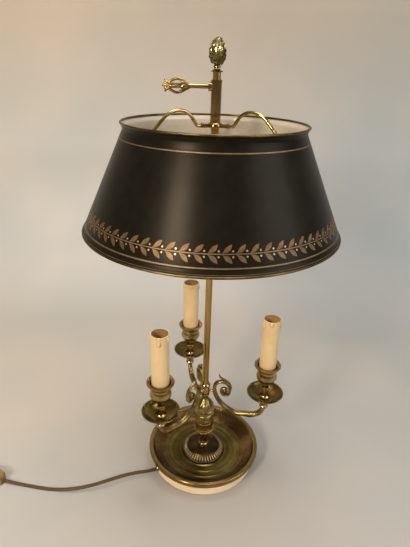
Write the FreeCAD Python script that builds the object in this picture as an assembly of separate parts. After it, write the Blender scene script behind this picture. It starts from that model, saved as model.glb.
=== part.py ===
"""Three-light bouillotte lamp: a dished brass foot on a round plinth, a turned stem with
three scrolled arms, a tall plain rod, and a painted metal shade on a carrier that slides
on the rod and is held by a key. A flat two-core cord leaves the plinth, passes through an
inline rocker switch and lies wound up beside the lamp.

Millimetres, +Z up. The origin is where the lamp's axis meets the table.
"""
import FreeCAD
import Part
import math
import os

from FreeCAD import Vector

os.makedirs("parts", exist_ok=True)

# Base: felt, plinth and dish
felt_thickness = 1.5
plinth_radius = 86.0
felt_inset = 4.0
felt_radius = plinth_radius - felt_inset
plinth_height = 12.5
plinth_edge = 1.2
recess_radius = 32.0
recess_depth = 9.0
dish_overhang = 7.0
dish_lip_radius = plinth_radius + dish_overhang
dish_lip_width = 8.5
dish_floor_radius = 65.0
dish_floor_thickness = 2.0
dish_depth = 12.0

# Stem, from the dish floor up
foot_radius = 34.8
foot_height = 12.0
foot_edge_height = 2.4
flute_count = 44
flute_depth = 1.3
flute_band = 6.3
neck_radius = 5.4
neck_height = 21.0
bead_ring_radius = 14.7
bead_ring_height = 15.0
bead_band = 4.0
drum_radius = 13.9
drum_height = 37.0
vase_shoulder_radius = 16.0
vase_neck_radius = 4.6
vase_height = 30.0
collar_radius = 7.4
collar_height = 27.0
tie_rod_radius = 3.0
tie_rod_reach = 6.0
nut_thickness = 5.0
nut_flats = 10.0
washer_radius = 9.0
washer_thickness = 1.5

# Rod and finial
rod_radius = 5.0
rod_length = 482.5
rod_seat_depth = 20.0
running_clearance = 0.05
rod_stud_radius = 2.5
rod_stud_length = 10.0
finial_flange_radius = 7.4
finial_radius = 10.5
finial_height = 39.0
finial_neck_radius = 3.4

# Scrolled arms: the centre line is a chain of arcs (radius, degrees), all turning one way,
# that starts at the eye under the drip pan and ends inside the volute
arm_reach = 97.0
arm_first_azimuth = 228.0
arm_count = 3
sweep_arcs = [(29.5, 90.0), (54.6, 55.5), (41.0, 34.5)]
volute_arcs = [(15.0, 180.0), (10.5, 90.0), (8.0, 90.0), (6.0, 90.0), (4.0, 60.0)]
knee_reach = 15.29
arm_thickness = 5.4
volute_thickness = 4.2
arm_width = 7.0
arm_bottom_above_drum = 3.0
eye_radius = 6.5
eye_height = 12.0
volute_button_radius = 3.3
leaf_length = 13.0
leaf_base_radius = 2.2
leaf_tip_radius = 0.5
bracket_radius = 2.2
tenon_depth = 2.0

# Drip pans, candle cups, sleeves and lampholders
pan_radius = 28.5
pan_depth = 9.5
pan_wall = 1.6
pan_hub_radius = 6.0
pan_hub_height = 7.0
cup_lip_radius = 20.5
cup_belly_radius = 15.0
cup_base_radius = 8.0
cup_stem_radius = 5.8
cup_height = 61.0
cup_socket_depth = 9.5
sleeve_radius = 13.0
sleeve_wall = 0.9
sleeve_height = 94.0
sleeve_clearance = 0.15
nipple_radius = 4.8
nipple_bore = 3.6
nipple_depth = 6.0
holder_nut_radius = 6.5
lampholder_radius = 11.4
lampholder_height = 68.0
lamp_thread_radius = 7.1
lamp_thread_depth = 27.0

# Carrier: slide tube, hub, arms, shade and key
tube_radius = 6.6
tube_length = 56.0
tube_to_finial = 8.5
hub_radius = 9.5
hub_height = 6.0
lug_reach = 19.0
lug_width = 7.0
carrier_first_azimuth = 90.0
carrier_rod_radius = 2.1
carrier_start = 17.0
carrier_straight = 7.0
carrier_bend = 4.0
carrier_rise_angle = 55.0
carrier_rise = 9.5
hump_inner_radius = 21.0
hump_outer_radius = 29.8
carrier_fall_angle = 46.0
carrier_fall = 30.0
carrier_foot_bend = 25.0
foot_pad_radius = 5.5
foot_pad_thickness = 2.0

shade_height = 133.0
shade_top_radius = 116.5
shade_bottom_radius = 169.5
shade_wall = 0.8
shade_flare_height = 6.5
shade_top_flare = 2.2
shade_bottom_flare = 3.8
shade_below_hub_top = 2.0
rim_wire_radius = 1.5

key_height_below_top = 8.0
boss_radius = 5.3
boss_reach = 7.3
key_thread_radius = 2.5
key_collar_radius = 5.3
key_collar_thickness = 2.6
key_shaft_radius = 2.6
key_shaft_length = 22.5
key_head_length = 35.0
key_head_height = 18.8
key_head_thickness = 4.0
key_bar = 2.6

# Cord, inline switch and plug
cord_diameter = 5.4
cord_exit_azimuth = 209.5
cord_exit_height = 8.0
bush_radius = 4.6
bush_flange_radius = 5.4
bush_flange = 1.6
switch_length = 62.0
switch_width = 27.0
switch_end_width = 13.0
switch_height = 16.0
switch_split = 8.0
switch_wall = 1.6
switch_edge = 1.5
switch_entry_height = 5.0
rocker_length = 19.0
rocker_width = 9.5
rocker_radius = 15.0
rocker_gap = 0.4
rocker_tilt = 6.0
rocker_proud = 2.2
screw_radius = 1.6
screw_head_radius = 2.6
screw_spacing = 38.0
coil_inner_radius = 21.65
coil_pitch = 5.9
coil_layer_half_turns = 7
coil_climb_inset = 1.8
plug_length = 34.0
plug_width = 33.0
plug_back_width = 15.0
plug_thickness = 13.6
plug_relief_length = 22.0
plug_pin_radius = 2.0
plug_pin_length = 19.0
plug_pin_root_radius = 1.5
plug_pin_root_length = 5.0
plug_pin_spacing = 19.0

# Heights of the seats, worked out from the sizes above
plinth_top = felt_thickness + plinth_height
dish_floor = plinth_top + dish_floor_thickness
dish_lip = dish_floor + dish_depth
neck_bottom = dish_floor + foot_height
bead_bottom = neck_bottom + neck_height
drum_bottom = bead_bottom + bead_ring_height
vase_bottom = drum_bottom + drum_height
collar_bottom = vase_bottom + vase_height
collar_top = collar_bottom + collar_height
rod_bottom = collar_top - rod_seat_depth
rod_top = rod_bottom + rod_length
tube_top = rod_top - tube_to_finial
tube_bottom = tube_top - tube_length
hub_top = tube_bottom + hub_height
shade_top = hub_top - shade_below_hub_top
shade_bottom = shade_top - shade_height
key_z = tube_top - key_height_below_top
recess_top = felt_thickness + recess_depth
arm_bottom = vase_bottom + arm_bottom_above_drum
sweep_heading = -90.0
sweep_turns = [sweep_heading]
for radius, degrees in sweep_arcs:
    sweep_turns.append(sweep_turns[-1] - degrees)
sweep_span = sum(radius * (math.sin(math.radians(ahead)) - math.sin(math.radians(behind)))
                 for (radius, degrees), behind, ahead in zip(sweep_arcs, sweep_turns, sweep_turns[1:]))
sweep_fit = (arm_reach - knee_reach) / sweep_span
fitted_sweep = [(radius * sweep_fit, degrees) for radius, degrees in sweep_arcs]
eye_z = arm_bottom + fitted_sweep[0][0]
pan_bottom = eye_z + eye_height * 0.75
pan_floor = pan_bottom + pan_hub_height + pan_wall
cup_lip = pan_floor + cup_height
sleeve_bottom = cup_lip - cup_socket_depth - 4.0
sleeve_top = sleeve_bottom + sleeve_height
lampholder_bottom = sleeve_bottom + 2.0
lampholder_top = lampholder_bottom + lampholder_height

origin = Vector(0, 0, 0)
up = Vector(0, 0, 1)

# The cord's route from the plinth to the switch, and from the switch to the coil
lead_points = [
    (-88.0, -49.6, 8.3),
    (-106.0, -54.0, 9.8),
    (-130.0, -63.5, 11.5),
    (-152.0, -74.5, 12.0),
    (-176.0, -84.0, 10.5),
    (-203.0, -88.2, 6.5),
    (-231.0, -88.5, 3.3),
    (-256.0, -86.3, 2.8),
    (-284.0, -82.0, 2.8),
    (-307.0, -78.8, 3.7),
]
switch_near = Vector(-322.0, -76.5, switch_entry_height)
switch_direction = Vector(-0.9885, 0.1512, 0)
link_points = [
    (-397.0, -65.2, 3.4),
    (-424.0, -63.3, 2.75),
]
coil_centre = Vector(-456.0, -21.0, 2.75)


def save(name, shape):
    solids = shape.Solids
    shape = solids[0] if len(solids) == 1 else Part.makeCompound(solids)
    shape.exportStep("parts/" + name + ".step")
    print("%-18s solids %d  volume %.1f mm3" % (name, len(solids), shape.Volume))
    return shape


def polar(radius, azimuth, z):
    angle = math.radians(azimuth)
    return Vector(radius * math.cos(angle), radius * math.sin(angle), z)


def turned(start, *steps):
    """Revolve a closed outline about Z: a step is (r, z) for a line, or
    ((r, z), (r, z)) for an arc through the first point to the second."""
    edges = []
    here = Vector(start[0], 0, start[1])
    for step in steps + (start,):
        if isinstance(step[0], tuple):
            through = Vector(step[0][0], 0, step[0][1])
            there = Vector(step[1][0], 0, step[1][1])
            edges.append(Part.Arc(here, through, there).toShape())
        else:
            there = Vector(step[0], 0, step[1])
            if there.distanceToPoint(here) > 1e-6:
                edges.append(Part.LineSegment(here, there).toShape())
        here = there
    face = Part.Face(Part.Wire(edges))
    return face.revolve(origin, up, 360)


def rod(radius, bottom, top, bore=0.0, at=origin):
    base = Vector(at.x, at.y, bottom)
    solid = Part.makeCylinder(radius, top - bottom, base)
    if bore:
        solid = solid.cut(Part.makeCylinder(bore, top - bottom, base))
    return solid


def hex_nut(flats, bottom, top, bore, at=origin):
    corner = flats / 2 / math.cos(math.radians(30))
    points = [polar(corner, 60 * i, bottom) + Vector(at.x, at.y, 0) for i in range(7)]
    nut = Part.Face(Part.makePolygon(points)).extrude(Vector(0, 0, top - bottom))
    return nut.cut(rod(bore, bottom, top, 0, at))


def tangent_arc(start, heading, end):
    """The arc that leaves start along heading and reaches end, and its last heading."""
    chord = end - start
    length = chord.Length
    along = chord * (1 / length)
    cosine = heading.dot(along)
    side = heading - along * cosine
    if side.Length < 1e-6:
        return Part.LineSegment(start, end).toShape(), heading
    side.normalize()
    half = math.acos(max(-1.0, min(1.0, cosine))) / 2
    middle = (start + end) * 0.5 + side * (length / 2 * math.tan(half))
    last = along * (2 * cosine) - heading
    return Part.Arc(start, middle, end).toShape(), last


def rounded_route(points, name):
    """Straight runs joined by tangent arcs, each as large as its two runs allow."""
    edges = []
    radii = []
    here = points[0]
    for before, corner, after in zip(points, points[1:], points[2:]):
        into = (corner - before).normalize()
        out = (after - corner).normalize()
        turn = math.acos(max(-1.0, min(1.0, into.dot(out))))
        cut = 0.45 * min((corner - before).Length, (after - corner).Length)
        radii.append(cut / math.tan(turn / 2))
        entry = corner - into * cut
        leave = corner + out * cut
        edges.append(Part.LineSegment(here, entry).toShape())
        edges.append(tangent_arc(entry, into, leave)[0])
        here = leave
    edges.append(Part.LineSegment(here, points[-1]).toShape())
    if radii:
        print(name, "bend radii mm", [round(radius) for radius in radii])
    return edges


def tube_along(edges, radius):
    """A round tube along a chain of edges."""
    wire = Part.Wire(edges)
    first = edges[0]
    start = first.valueAt(first.FirstParameter)
    heading = first.tangentAt(first.FirstParameter)
    circle = Part.Wire(Part.makeCircle(radius, start, heading))
    solid = wire.makePipeShell([circle], True, False)
    section = math.pi * radius ** 2
    print("  tube volume over section times length %.4f" % (solid.Volume / (section * wire.Length)))
    return solid


def turtle(start, heading, steps):
    """Edges in the XZ plane: each step is a straight length, or (radius, degrees) with
    positive degrees turning downwards to the right. Returns edges, end and heading."""
    edges = []
    x, z = start
    angle = math.radians(heading)
    for step in steps:
        here = Vector(x, 0, z)
        if isinstance(step, tuple):
            radius, degrees = step
            sign = 1 if degrees > 0 else -1
            turn = math.radians(abs(degrees))
            centre_angle = angle - sign * math.pi / 2
            cx = x + radius * math.cos(centre_angle)
            cz = z + radius * math.sin(centre_angle)
            begin = centre_angle + math.pi
            ends = []
            for share in (0.5, 1.0):
                at = begin - sign * turn * share
                ends.append(Vector(cx + radius * math.cos(at), 0, cz + radius * math.sin(at)))
            edges.append(Part.Arc(here, ends[0], ends[1]).toShape())
            x, z = ends[1].x, ends[1].z
            angle -= sign * turn
        else:
            x += step * math.cos(angle)
            z += step * math.sin(angle)
            edges.append(Part.LineSegment(here, Vector(x, 0, z)).toShape())
    return edges, (x, z), math.degrees(angle)


def strap_along(edges, thickness, width):
    """An oval bar along a chain of edges in the XZ plane."""
    first = edges[0]
    start = first.valueAt(first.FirstParameter)
    heading = first.tangentAt(first.FirstParameter)
    across = Vector(0, 1, 0)
    oval = Part.Ellipse(start + across * (width / 2),
                        start + heading.cross(across) * (thickness / 2), start)
    return Part.Wire(edges).makePipeShell([Part.Wire(oval.toShape())], True, False)


def about_axis(shape, azimuth):
    turned_shape = shape.copy()
    turned_shape.rotate(origin, up, azimuth)
    return turned_shape


def make_base():
    felt = rod(felt_radius, 0, felt_thickness)
    save("base_felt", felt)

    block = rod(plinth_radius, felt_thickness, plinth_top)
    rims = [edge for edge in block.Edges if abs(edge.Length - 2 * math.pi * plinth_radius) < 0.01]
    block = block.makeFillet(plinth_edge, rims)
    recess = rod(recess_radius, felt_thickness, recess_top)
    hole = rod(tie_rod_radius, recess_top, plinth_top)
    exit_point = polar(plinth_radius, cord_exit_azimuth, cord_exit_height)
    inward = polar(-1, cord_exit_azimuth, 0)
    passage_length = plinth_radius - recess_radius * 0.9
    passage = Part.makeCylinder(bush_radius, passage_length, exit_point, inward)
    passage = passage.fuse(Part.makeCylinder(bush_radius, 2, exit_point - inward * 2, inward))
    save("plinth", block.cut(recess).cut(hole).cut(passage))

    bush_length = bush_flange + 16
    inner_end = exit_point + inward * (bush_length - bush_flange)
    tube = Part.makeCylinder(bush_radius, bush_length, inner_end, inward * -1)
    flange = Part.makeCone(bush_flange_radius, bush_radius - 0.6, bush_flange * 1.6,
                           exit_point + inward * 0.4, inward * -1)
    outside = flange.cut(rod(plinth_radius, felt_thickness, plinth_top))
    bush = tube.fuse(outside)
    face_point = exit_point - inward * (bush_flange * 1.6 - 0.4)
    beyond = Part.makeCylinder(bush_radius * 2, 10, face_point, inward * -1)
    save("cord_bush", bush.cut(beyond))

    inner = dish_lip_radius - dish_lip_width
    wall_foot = dish_floor_radius
    dish = turned(
        (tie_rod_radius, plinth_top),
        (wall_foot, plinth_top),
        ((wall_foot + 5, plinth_top + 1.0), (wall_foot + 9, plinth_top + 4.0)),
        (inner + 1.0, dish_lip - 2.2),
        (dish_lip_radius - 1.6, dish_lip - 2.4),
        ((dish_lip_radius, dish_lip - 1.0), (dish_lip_radius - 1.6, dish_lip + 0.4)),
        (inner + 0.6, dish_lip),
        ((inner - 1.0, dish_lip - 0.5), (inner - 2.2, dish_lip - 1.6)),
        (wall_foot + 5.5, dish_floor + 2.0),
        ((wall_foot + 3.0, dish_floor + 0.5), (wall_foot - 0.5, dish_floor)),
        (tie_rod_radius, dish_floor),
    )
    save("dish", dish)

    washer = rod(washer_radius, recess_top - washer_thickness, recess_top, tie_rod_radius)
    nut_top = recess_top - washer_thickness
    nut = hex_nut(nut_flats, nut_top - nut_thickness, nut_top, tie_rod_radius)
    save("tie_nut", nut)
    save("tie_washer", washer)
    tie_bottom = nut_top - nut_thickness - 1.0
    tie = rod(tie_rod_radius, tie_bottom, collar_bottom + tie_rod_reach - 2.0)
    save("tie_rod", tie)

    block_height = recess_depth - 1.0
    terminal = Part.makeBox(18, 12, block_height, Vector(-27, -14, felt_thickness + 1.0))
    for side in (-1, 1):
        at = Vector(-18 + side * 4.5, -8, 0)
        terminal = terminal.cut(rod(1.6, felt_thickness, felt_thickness + 4, 0, at))
    save("terminal_block", terminal)


def make_foot():
    outer = foot_radius
    inner = foot_radius - flute_band
    low = dish_floor + foot_edge_height
    high = dish_floor + foot_edge_height + 4.8
    body = turned(
        (tie_rod_radius, dish_floor),
        (outer, dish_floor),
        (outer, low),
        ((outer - 2.4, low + 3.4), (inner, high)),
        (inner - 1.8, high + 0.2),
        ((inner - 3.0, high + 1.1), (inner - 4.2, high + 0.9)),
        ((outer * 0.62, high + 1.4), (outer * 0.51, high + 2.2)),
        ((outer * 0.46, high + 3.2), (outer * 0.40, high + 2.9)),
        (neck_radius + 3.4, neck_bottom - 1.0),
        (neck_radius + 3.0, neck_bottom),
        (tie_rod_radius, neck_bottom),
    )
    reach = 2 * math.pi * foot_radius / flute_count
    tool = Part.makeCylinder(reach * 0.36, flute_band * 1.6,
                             Vector(inner - 0.6, 0, high + reach * 0.36 - flute_depth + 0.4),
                             Vector(flute_band, 0, -(high - low)))
    tools = [about_axis(tool, 360 / flute_count * i) for i in range(flute_count)]
    save("stem_foot", body.cut(Part.makeCompound(tools)))


def make_stem():
    top = neck_bottom + neck_height
    neck = turned(
        (tie_rod_radius, neck_bottom),
        (neck_radius + 2.6, neck_bottom),
        (neck_radius + 2.6, neck_bottom + 1.4),
        ((neck_radius + 0.6, neck_bottom + 3.2), (neck_radius, neck_bottom + 7.0)),
        (neck_radius, top - 6.0),
        ((neck_radius + 0.4, top - 3.4), (neck_radius + 2.0, top - 1.6)),
        (neck_radius + 2.0, top),
        (tie_rod_radius, top),
    )
    save("stem_neck", neck)

    band = drum_bottom - bead_band
    ring = turned(
        (tie_rod_radius, bead_bottom),
        (neck_radius + 2.0, bead_bottom),
        ((bead_ring_radius - 3.4, bead_bottom + 4.0), (bead_ring_radius - 1.2, band)),
        ((bead_ring_radius, (band + drum_bottom) / 2), (bead_ring_radius - 1.2, drum_bottom)),
        (tie_rod_radius, drum_bottom),
    )
    save("bead_ring", ring)

    drum = turned(
        (tie_rod_radius, drum_bottom),
        (drum_radius - 0.5, drum_bottom),
        (drum_radius, drum_bottom + 1.2),
        (drum_radius, drum_bottom + drum_height * 0.42),
        (drum_radius - 0.7, drum_bottom + drum_height * 0.45),
        (drum_radius - 0.7, drum_bottom + drum_height * 0.62),
        (drum_radius, drum_bottom + drum_height * 0.65),
        (drum_radius, vase_bottom - 1.0),
        (drum_radius - 0.7, vase_bottom),
        (tie_rod_radius, vase_bottom),
    )
    save("stem_drum", drum)

    shoulder = vase_bottom + 4.0
    neck_at = collar_bottom - 2.5
    vase = turned(
        (tie_rod_radius, vase_bottom),
        (vase_shoulder_radius - 2.0, vase_bottom),
        ((vase_shoulder_radius, vase_bottom + 2.0), (vase_shoulder_radius - 1.0, shoulder)),
        (vase_shoulder_radius - 1.4, shoulder + 1.0),
        ((vase_shoulder_radius - 2.6, shoulder + 9.0), (vase_shoulder_radius - 8.0, shoulder + 17.0)),
        ((vase_neck_radius + 0.8, neck_at - 3.6), (vase_neck_radius, neck_at)),
        (vase_neck_radius + 1.2, collar_bottom),
        (tie_rod_radius, collar_bottom),
    )
    save("stem_vase", vase)

    bore = rod_radius + running_clearance
    waist = collar_radius - 1.7
    first = collar_bottom + 4.0
    second = collar_bottom + 12.5
    third = collar_top - 5.5
    tie_end = collar_bottom + tie_rod_reach - 2.0
    collar = turned(
        (tie_rod_radius, collar_bottom),
        (waist, collar_bottom),
        (collar_radius - 0.6, first - 2.0),
        ((collar_radius, first), (collar_radius - 0.6, first + 2.0)),
        (waist + 0.5, first + 3.2),
        (waist + 0.5, second - 4.2),
        (collar_radius, second - 3.6),
        (collar_radius, second + 3.6),
        (waist + 0.7, second + 4.4),
        (waist + 0.7, third - 1.2),
        ((collar_radius + 0.9, third + 0.8), (waist + 1.2, third + 2.8)),
        (waist + 0.8, collar_top),
        (bore, collar_top),
        (bore, rod_bottom),
        (tie_rod_radius, rod_bottom),
        (tie_rod_radius, tie_end),
    )
    for number in range(arm_count):
        azimuth = arm_first_azimuth + 360 / arm_count * number
        outward = polar(1, azimuth, 0)
        start = outward * (collar_radius - tenon_depth) + Vector(0, 0, collar_bottom + 12.5)
        hole = Part.makeCylinder(1.2, tenon_depth + 1, start, outward)
        collar = collar.cut(hole)
    save("stem_collar", collar)


def make_column():
    pole = rod(rod_radius, rod_bottom, rod_top)
    stud = rod(rod_stud_radius, rod_top, rod_top + rod_stud_length)
    save("rod", pole.fuse(stud))

    base = rod_top
    shoulder = base + 9.0
    top = base + finial_height
    crown = 5.5
    cap = math.radians(52)
    finial = turned(
        (rod_stud_radius, base),
        (finial_flange_radius, base),
        (finial_flange_radius, base + 1.0),
        ((finial_neck_radius + 1.0, base + 2.2), (finial_neck_radius, base + 4.2)),
        ((finial_neck_radius + 1.3, base + 5.6), (finial_neck_radius + 0.2, base + 6.8)),
        (finial_neck_radius + 1.6, base + 8.0),
        (finial_neck_radius + 1.6, shoulder),
        ((finial_radius - 1.6, base + 15.0), (finial_radius, base + 20.5)),
        ((finial_radius - 1.0, base + 28.5), (crown * math.sin(cap), top - crown + crown * math.cos(cap))),
        ((crown * math.sin(cap / 2), top - crown + crown * math.cos(cap / 2)), (0, top)),
        (0, base + rod_stud_length),
        (rod_stud_radius, base + rod_stud_length),
    )
    save("finial", finial)


def make_lamp_arm(number, azimuth):
    start = (arm_reach, eye_z)
    sweep, knee, heading = turtle(start, sweep_heading, fitted_sweep)
    volute, tip, _ = turtle(knee, heading, volute_arcs)
    arm = strap_along(sweep, arm_thickness, arm_width)
    arm = arm.fuse(strap_along(volute, volute_thickness, arm_width - 1.0))
    button = Part.makeCylinder(volute_button_radius, arm_width, Vector(tip[0], -arm_width / 2, tip[1]),
                               Vector(0, 1, 0))
    crest = Vector(knee[0] + volute_arcs[0][0] * 0.75, 0, knee[1] + volute_arcs[0][0] * 0.9)
    lean = Vector(-0.38, 0, 0.92)
    leaf = Part.makeCone(leaf_base_radius, leaf_tip_radius, leaf_length, crest, lean)
    eye = rod(eye_radius, eye_z - eye_height * 0.25, pan_bottom, 0, Vector(arm_reach, 0, 0))
    bracket_z = collar_bottom + 12.5
    bracket = Part.makeCylinder(bracket_radius, knee[0] - collar_radius + 1.0,
                                Vector(collar_radius - 0.8, 0, bracket_z), Vector(1, 0, 0))
    bracket = bracket.cut(rod(collar_radius, collar_bottom, collar_top))
    tenon = Part.makeCylinder(1.2, tenon_depth + 2.0,
                              Vector(collar_radius - tenon_depth, 0, bracket_z), Vector(1, 0, 0))
    arm = arm.fuse([button, leaf, eye, bracket, tenon])
    bore = rod(nipple_radius, pan_bottom - nipple_depth, pan_bottom, 0, Vector(arm_reach, 0, 0))
    arm = arm.cut(bore)
    save("lamp_arm_%d" % number, about_axis(arm, azimuth))


def make_light(number, azimuth):
    at = polar(arm_reach, azimuth, 0)
    rim = pan_bottom + pan_hub_height + pan_depth
    pan = turned(
        (nipple_radius, pan_bottom),
        (pan_hub_radius, pan_bottom),
        ((pan_hub_radius + 0.6, pan_bottom + pan_hub_height * 0.6),
         (pan_hub_radius + 4.0, pan_floor - pan_wall)),
        ((pan_radius * 0.72, rim - 4.6), (pan_radius - 1.4, rim - 1.4)),
        ((pan_radius, rim - 0.4), (pan_radius - 1.2, rim + 0.4)),
        ((pan_radius * 0.70, rim - 3.2), (pan_hub_radius + 4.0, pan_floor)),
        (nipple_radius, pan_floor),
    )
    pan.translate(at)
    save("drip_pan_%d" % number, pan)

    base = pan_floor
    waist = base + cup_height * 0.30
    belly = base + cup_height * 0.69
    neck = base + cup_height * 0.84
    bore = sleeve_radius + sleeve_clearance
    cup = turned(
        (nipple_radius, base),
        (cup_base_radius, base),
        (cup_base_radius, base + 1.6),
        ((cup_stem_radius + 0.6, base + 3.4), (cup_stem_radius, base + 6.0)),
        (cup_stem_radius, base + 8.5),
        ((cup_stem_radius + 1.6, base + 10.5), (cup_stem_radius, base + 12.5)),
        (cup_stem_radius + 0.2, waist - 3.0),
        (cup_base_radius + 0.6, waist - 1.6),
        (cup_base_radius + 0.6, waist + 1.6),
        (cup_base_radius + 1.0, waist + 3.2),
        ((cup_belly_radius - 2.6, belly - 12.0), (cup_belly_radius, belly)),
        ((cup_belly_radius + 0.1, belly + 3.0), (cup_belly_radius - 1.0, neck - 2.0)),
        (cup_belly_radius - 0.6, neck),
        (cup_lip_radius - 0.8, cup_lip - 3.0),
        ((cup_lip_radius, cup_lip - 1.5), (cup_lip_radius - 0.8, cup_lip)),
        (bore, cup_lip - 4.0),
        (bore, sleeve_bottom),
        (nipple_radius, sleeve_bottom),
    )
    cup.translate(at)
    save("candle_cup_%d" % number, cup)

    sleeve = rod(sleeve_radius, sleeve_bottom, sleeve_top, sleeve_radius - sleeve_wall, at)
    save("candle_sleeve_%d" % number, sleeve)

    holder = turned(
        (nipple_radius, lampholder_bottom),
        (lampholder_radius - 2.0, lampholder_bottom),
        (lampholder_radius, lampholder_bottom + 3.0),
        (lampholder_radius, lampholder_top - lamp_thread_depth - 4.0),
        (lampholder_radius - 1.2, lampholder_top - lamp_thread_depth - 3.0),
        (lampholder_radius - 1.2, lampholder_top),
        (lamp_thread_radius, lampholder_top),
        (lamp_thread_radius, lampholder_top - lamp_thread_depth),
        (0, lampholder_top - lamp_thread_depth),
        (0, lampholder_bottom + 8.0),
        (nipple_radius, lampholder_bottom + 8.0),
    )
    holder.translate(at)
    save("lampholder_%d" % number, holder)


def make_nipples():
    tubes = []
    nuts = []
    for number in range(arm_count):
        at = polar(arm_reach, arm_first_azimuth + 360 / arm_count * number, 0)
        bottom = pan_bottom - nipple_depth
        tubes.append(rod(nipple_radius, bottom, lampholder_bottom + 7.0, nipple_bore, at))
        nut_bottom = sleeve_bottom
        nuts.append(rod(holder_nut_radius, nut_bottom, lampholder_bottom, nipple_radius, at))
    save("nipples", Part.makeCompound(tubes))
    save("holder_nuts", Part.makeCompound(nuts))


def make_slide_tube():
    bore = rod_radius + running_clearance
    tube = rod(tube_radius, tube_bottom, tube_top, 0)
    boss = Part.makeCylinder(boss_radius, boss_reach, Vector(0, 0, key_z), Vector(-1, 0, 0))
    band = rod(tube_radius + 0.5, tube_top - 2.6, tube_top - 1.0)
    tube = tube.fuse([boss, band]).cut(rod(bore, tube_bottom, tube_top))
    thread = Part.makeCylinder(key_thread_radius + running_clearance, boss_reach + 1,
                               Vector(0, 0, key_z), Vector(-1, 0, 0))
    save("slide_tube", tube.cut(thread))


def make_carrier():
    hub = turned(
        (tube_radius, tube_bottom),
        (hub_radius - 1.5, tube_bottom),
        ((hub_radius, tube_bottom + 1.4), (hub_radius, tube_bottom + hub_height * 0.5)),
        ((hub_radius - 0.4, hub_top - 1.4), (hub_radius - 1.8, hub_top)),
        (tube_radius, hub_top),
    )
    lug_z = tube_bottom + hub_height * 0.5
    eye_height_here = hub_height - 1.6
    for number in range(3):
        lug = Part.makeBox(lug_reach - hub_radius + 1.5, lug_width, eye_height_here,
                           Vector(hub_radius - 1.5, -lug_width / 2, lug_z - eye_height_here / 2))
        end = rod(lug_width / 2, lug_z - eye_height_here / 2, lug_z + eye_height_here / 2, 0,
                  Vector(lug_reach, 0, 0))
        seat = Part.makeCylinder(carrier_rod_radius, 40, Vector(carrier_start, 0, lug_z),
                                 Vector(1, 0, 0))
        lug = lug.fuse(end).cut(seat)
        hub = hub.fuse(about_axis(lug, carrier_first_azimuth + 120 * number))
    save("carrier_hub", hub)

    inner_cone = shade_hollow()
    steps = [carrier_straight, (carrier_bend, -carrier_rise_angle), carrier_rise,
             (hump_inner_radius, carrier_rise_angle), (hump_outer_radius, carrier_fall_angle),
             carrier_fall, (carrier_foot_bend, -carrier_fall_angle)]
    edges, end, _ = turtle((carrier_start, lug_z), 0, steps)
    wall_here = shade_inner_radius(end[1])
    run_out = wall_here - end[0] - foot_pad_thickness * 0.5
    edges.append(Part.LineSegment(Vector(end[0], 0, end[1]),
                                  Vector(end[0] + run_out, 0, end[1])).toShape())
    bar = tube_along(edges, carrier_rod_radius)
    pad_start = Vector(wall_here - foot_pad_thickness - 1.4, 0, end[1])
    pad = Part.makeCylinder(foot_pad_radius, foot_pad_thickness * 6, pad_start, Vector(1, 0, 0))
    tilt = math.degrees(math.atan2(shade_bottom_radius - shade_top_radius, shade_height))
    clear = foot_pad_radius * 5
    slab = Part.makeBox(foot_pad_thickness, 2 * clear, 2 * clear,
                        Vector(wall_here - foot_pad_thickness, -clear, end[1] - clear))
    slab.rotate(Vector(wall_here, 0, end[1]), Vector(0, 1, 0), -tilt)
    pad = pad.common(slab.fuse(slab.translated(Vector(foot_pad_thickness * 0.9, 0, 0))))
    arm = bar.fuse(pad).common(inner_cone)
    for number in range(3):
        save("carrier_arm_%d" % (number + 1), about_axis(arm, carrier_first_azimuth + 120 * number))


def shade_inner_radius(z):
    """Radius of the shade's inner wall at a height between its two flares."""
    high = shade_top - shade_flare_height
    low = shade_bottom + shade_flare_height
    share = (high - z) / (high - low)
    return shade_top_radius + (shade_bottom_radius - shade_top_radius) * share - shade_wall


def shade_hollow():
    high = shade_top - shade_flare_height
    low = shade_bottom + shade_flare_height
    return Part.makeCone(shade_inner_radius(low), shade_inner_radius(high), high - low,
                         Vector(0, 0, low)).fuse(rod(shade_inner_radius(high), high, tube_top))


def make_shade():
    high = shade_top - shade_flare_height
    low = shade_bottom + shade_flare_height
    top_edge = shade_top_radius + shade_top_flare
    bottom_edge = shade_bottom_radius + shade_bottom_flare
    skin = turned(
        (shade_top_radius, high),
        ((top_edge - shade_top_flare * 0.75, (high + shade_top) / 2), (top_edge, shade_top)),
        (top_edge - shade_wall, shade_top),
        ((top_edge - shade_top_flare * 0.75 - shade_wall, (high + shade_top) / 2),
         (shade_top_radius - shade_wall, high)),
        (shade_bottom_radius - shade_wall, low),
        ((bottom_edge - shade_bottom_flare * 0.72 - shade_wall, (low + shade_bottom) / 2),
         (bottom_edge - shade_wall, shade_bottom)),
        (bottom_edge, shade_bottom),
        ((bottom_edge - shade_bottom_flare * 0.72, (low + shade_bottom) / 2),
         (shade_bottom_radius, low)),
    )
    save("shade", skin)
    top_wire = Part.makeTorus(top_edge - shade_wall / 2, rim_wire_radius,
                              Vector(0, 0, shade_top + rim_wire_radius))
    bottom_wire = Part.makeTorus(bottom_edge - shade_wall / 2, rim_wire_radius,
                                 Vector(0, 0, shade_bottom - rim_wire_radius))
    save("shade_top_wire", top_wire)
    save("shade_bottom_wire", bottom_wire)


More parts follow.
